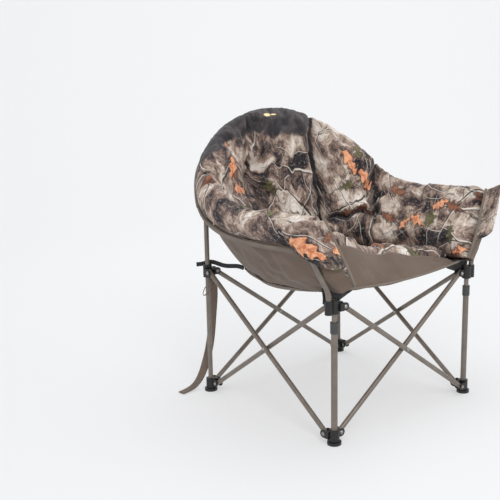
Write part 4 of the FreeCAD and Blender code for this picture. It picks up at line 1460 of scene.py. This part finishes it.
FLAP_ROWS, FLAP_COLUMNS = 34, 44
FLAP_LEVELS = [
    [
        (0.374, -0.334, 0.696),
        (0.422, -0.341, 0.704),
        (0.459, -0.333, 0.706),
        (0.468, -0.299, 0.692),
        (0.468, -0.262, 0.668),
    ],
    [
        (0.336, -0.342, 0.622),
        (0.384, -0.349, 0.626),
        (0.425, -0.345, 0.634),
        (0.449, -0.317, 0.640),
        (0.458, -0.274, 0.640),
    ],
    [
        (0.298, -0.350, 0.548),
        (0.345, -0.356, 0.552),
        (0.391, -0.352, 0.567),
        (0.417, -0.327, 0.583),
        (0.437, -0.296, 0.604),
    ],
]


def flap(side):
    """The liner's flap over an arm's front end. The top of the arm post is held in it."""
    u, v = np.linspace(0, 1, FLAP_COLUMNS), np.linspace(0, 1, FLAP_ROWS)
    levels = np.stack([Spline(level)(4 * u) for level in FLAP_LEVELS])
    grid = np.stack([Spline(level)(2 * v) for level in levels.swapaxes(0, 1)], axis=1)
    grid = on_side(grid, side)
    if side == "left":
        grid = grid + LEFT_TIP_LIFT * (1 - v)[:, None, None]
    normal = normals_of(grid)
    bumps = fractal(grid, 20.0, 3, 61.0) * 0.004
    soft = np.sin(math.pi * v)[:, None] * np.sin(math.pi * u)
    grid = grid + normal * (bumps * soft)[..., None]
    thickness = normal * 0.004
    piece = slab(f"pocket_{side}_cloth", grid - thickness, grid + thickness, flap_prints(grid, side))
    put_band_and_crease_shade(piece)
    dress_padded(piece, f"pocket_{side}")
    fold_with_arm(piece)


def flap_prints(grid, side):
    """The flap's own place on the printed cloth."""
    prints = flat_prints(grid)
    prints[..., 0] += 5.0 if side == "left" else 7.0
    return prints


def front_piping(side):
    """Two lines of piping down an arm's front edge, from its tip to the seat's corner."""
    line = Spline(on_side(PIPING_ROUTE, side))(np.linspace(0, 3, 60))
    if side == "left":
        line = line + LEFT_TIP_LIFT * np.linspace(1, 0, 60)[:, None]
    facing = np.tile([-SIGN[side] * 0.5, -1.0, 0.2], (60, 1))
    tape = band_along(f"piping_{side}", line, facing, *PIPING)
    fold_with_arm(tape)


GUSSET_Y = -0.290
GUSSET_TOP = [(0.205, 0.466), (0.262, 0.472), (0.305, 0.479), (0.343, 0.487)]
GUSSET_FOOT = [(0.238, 0.450), (0.276, 0.436), (0.306, 0.430), (0.338, 0.438)]


def gusset(side):
    """Black fabric from a front hub to the seat's front corner."""
    top, foot = (Spline(line)(np.linspace(0, 3, 20)) for line in (GUSSET_TOP, GUSSET_FOOT))
    rows = np.linspace(0, 1, 10)[:, None, None]
    flat = top * (1 - rows) + foot * rows
    bulge = 0.003 * np.sin(math.pi * rows[..., 0]) * np.ones((1, 20))
    grid = np.stack([SIGN[side] * flat[..., 0], GUSSET_Y + LEGS_Y - bulge, flat[..., 1]], axis=-1)
    shift = np.array([0, 0.0012, 0])
    piece = slab(f"gusset_{side}_cloth", grid - shift, grid + shift, flat_prints(grid))
    paint(piece, "black_webbing")
    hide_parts(f"gusset_{side}")
    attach(piece, f"front_{side}_hub")


WEBBING_WIDTH, WEBBING_THICK = 0.014, 0.005
WEBBING_ROUTE = [
    (0.330, 0.352, 0.449),
    (0.312, 0.340, 0.451),
    (0.300, 0.326, 0.457),
    (0.290, 0.300, 0.458),
    (0.268, 0.272, 0.448),
    (0.246, 0.236, 0.449),
    (0.232, 0.214, 0.443),
]


def corner_webbing(side):
    """The wavy black webbing from a rear hub to the bucket, with its tail past the hub."""
    line = Spline(on_side(WEBBING_ROUTE, side))(np.linspace(0, 6, 60))
    upright = np.tile([0.0, 0.0, 1.0], (60, 1))
    piece = ribbon(f"corner_webbing_{side}_cloth", line, upright, WEBBING_WIDTH, WEBBING_THICK)
    paint(piece, "black_webbing")
    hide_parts(f"corner_webbing_{side}")
    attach(piece, f"rear_{side}_hub")


# Station on the back, and size.
BADGES = {
    "badge": (-0.40, (0.027, 0.020, 0.005)),
    "badge_bar": (-0.14, (0.024, 0.007, 0.004)),
}


def badge():
    """A small plain plate and a short bar on the back's dark band."""
    pad = bpy.data.objects["back_pad_cloth"]
    for name, (station, size) in BADGES.items():
        _, centre, facing, _ = pad.closest_point_on_mesh(Vector(wall(station, 0.975, -0.04)))
        bpy.ops.mesh.primitive_uv_sphere_add(segments=24, ring_count=12, radius=0.5)
        plate = bpy.context.object
        plate.name = name
        plate.data.transform(Matrix.Diagonal((*size, 1)))
        turn = facing.to_track_quat("Z", "Y").to_matrix().to_4x4()
        plate.data.transform(Matrix.Translation(centre) @ turn)
        plate.data.polygons.foreach_set("use_smooth", [True] * len(plate.data.polygons))
        paint(plate, "badge_metal")
        fold_across(plate, "rear_right_leg")


def strap_loop():
    """The thin keeper loop that ties the carry strap round the rear right leg."""
    angle = np.linspace(0, 2 * math.pi, 40)
    centre = np.array([-LEG_X - 0.004, middle_of("hub_rear_right").y + 0.004, 0.374])
    line = centre + np.stack([0.021 * np.cos(angle), 0.016 * np.sin(angle), 0.024 * np.cos(angle)], axis=1)
    loop = tube_along("strap_keeper", line, 0.0022, flatten=0.5)
    paint(loop, "brown_webbing")
    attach(loop, "rear_right_leg")


make_tape()
for arm in SIGN:
    flap(arm)
    front_piping(arm)
    gusset(arm)
    corner_webbing(arm)
badge()
strap_loop()
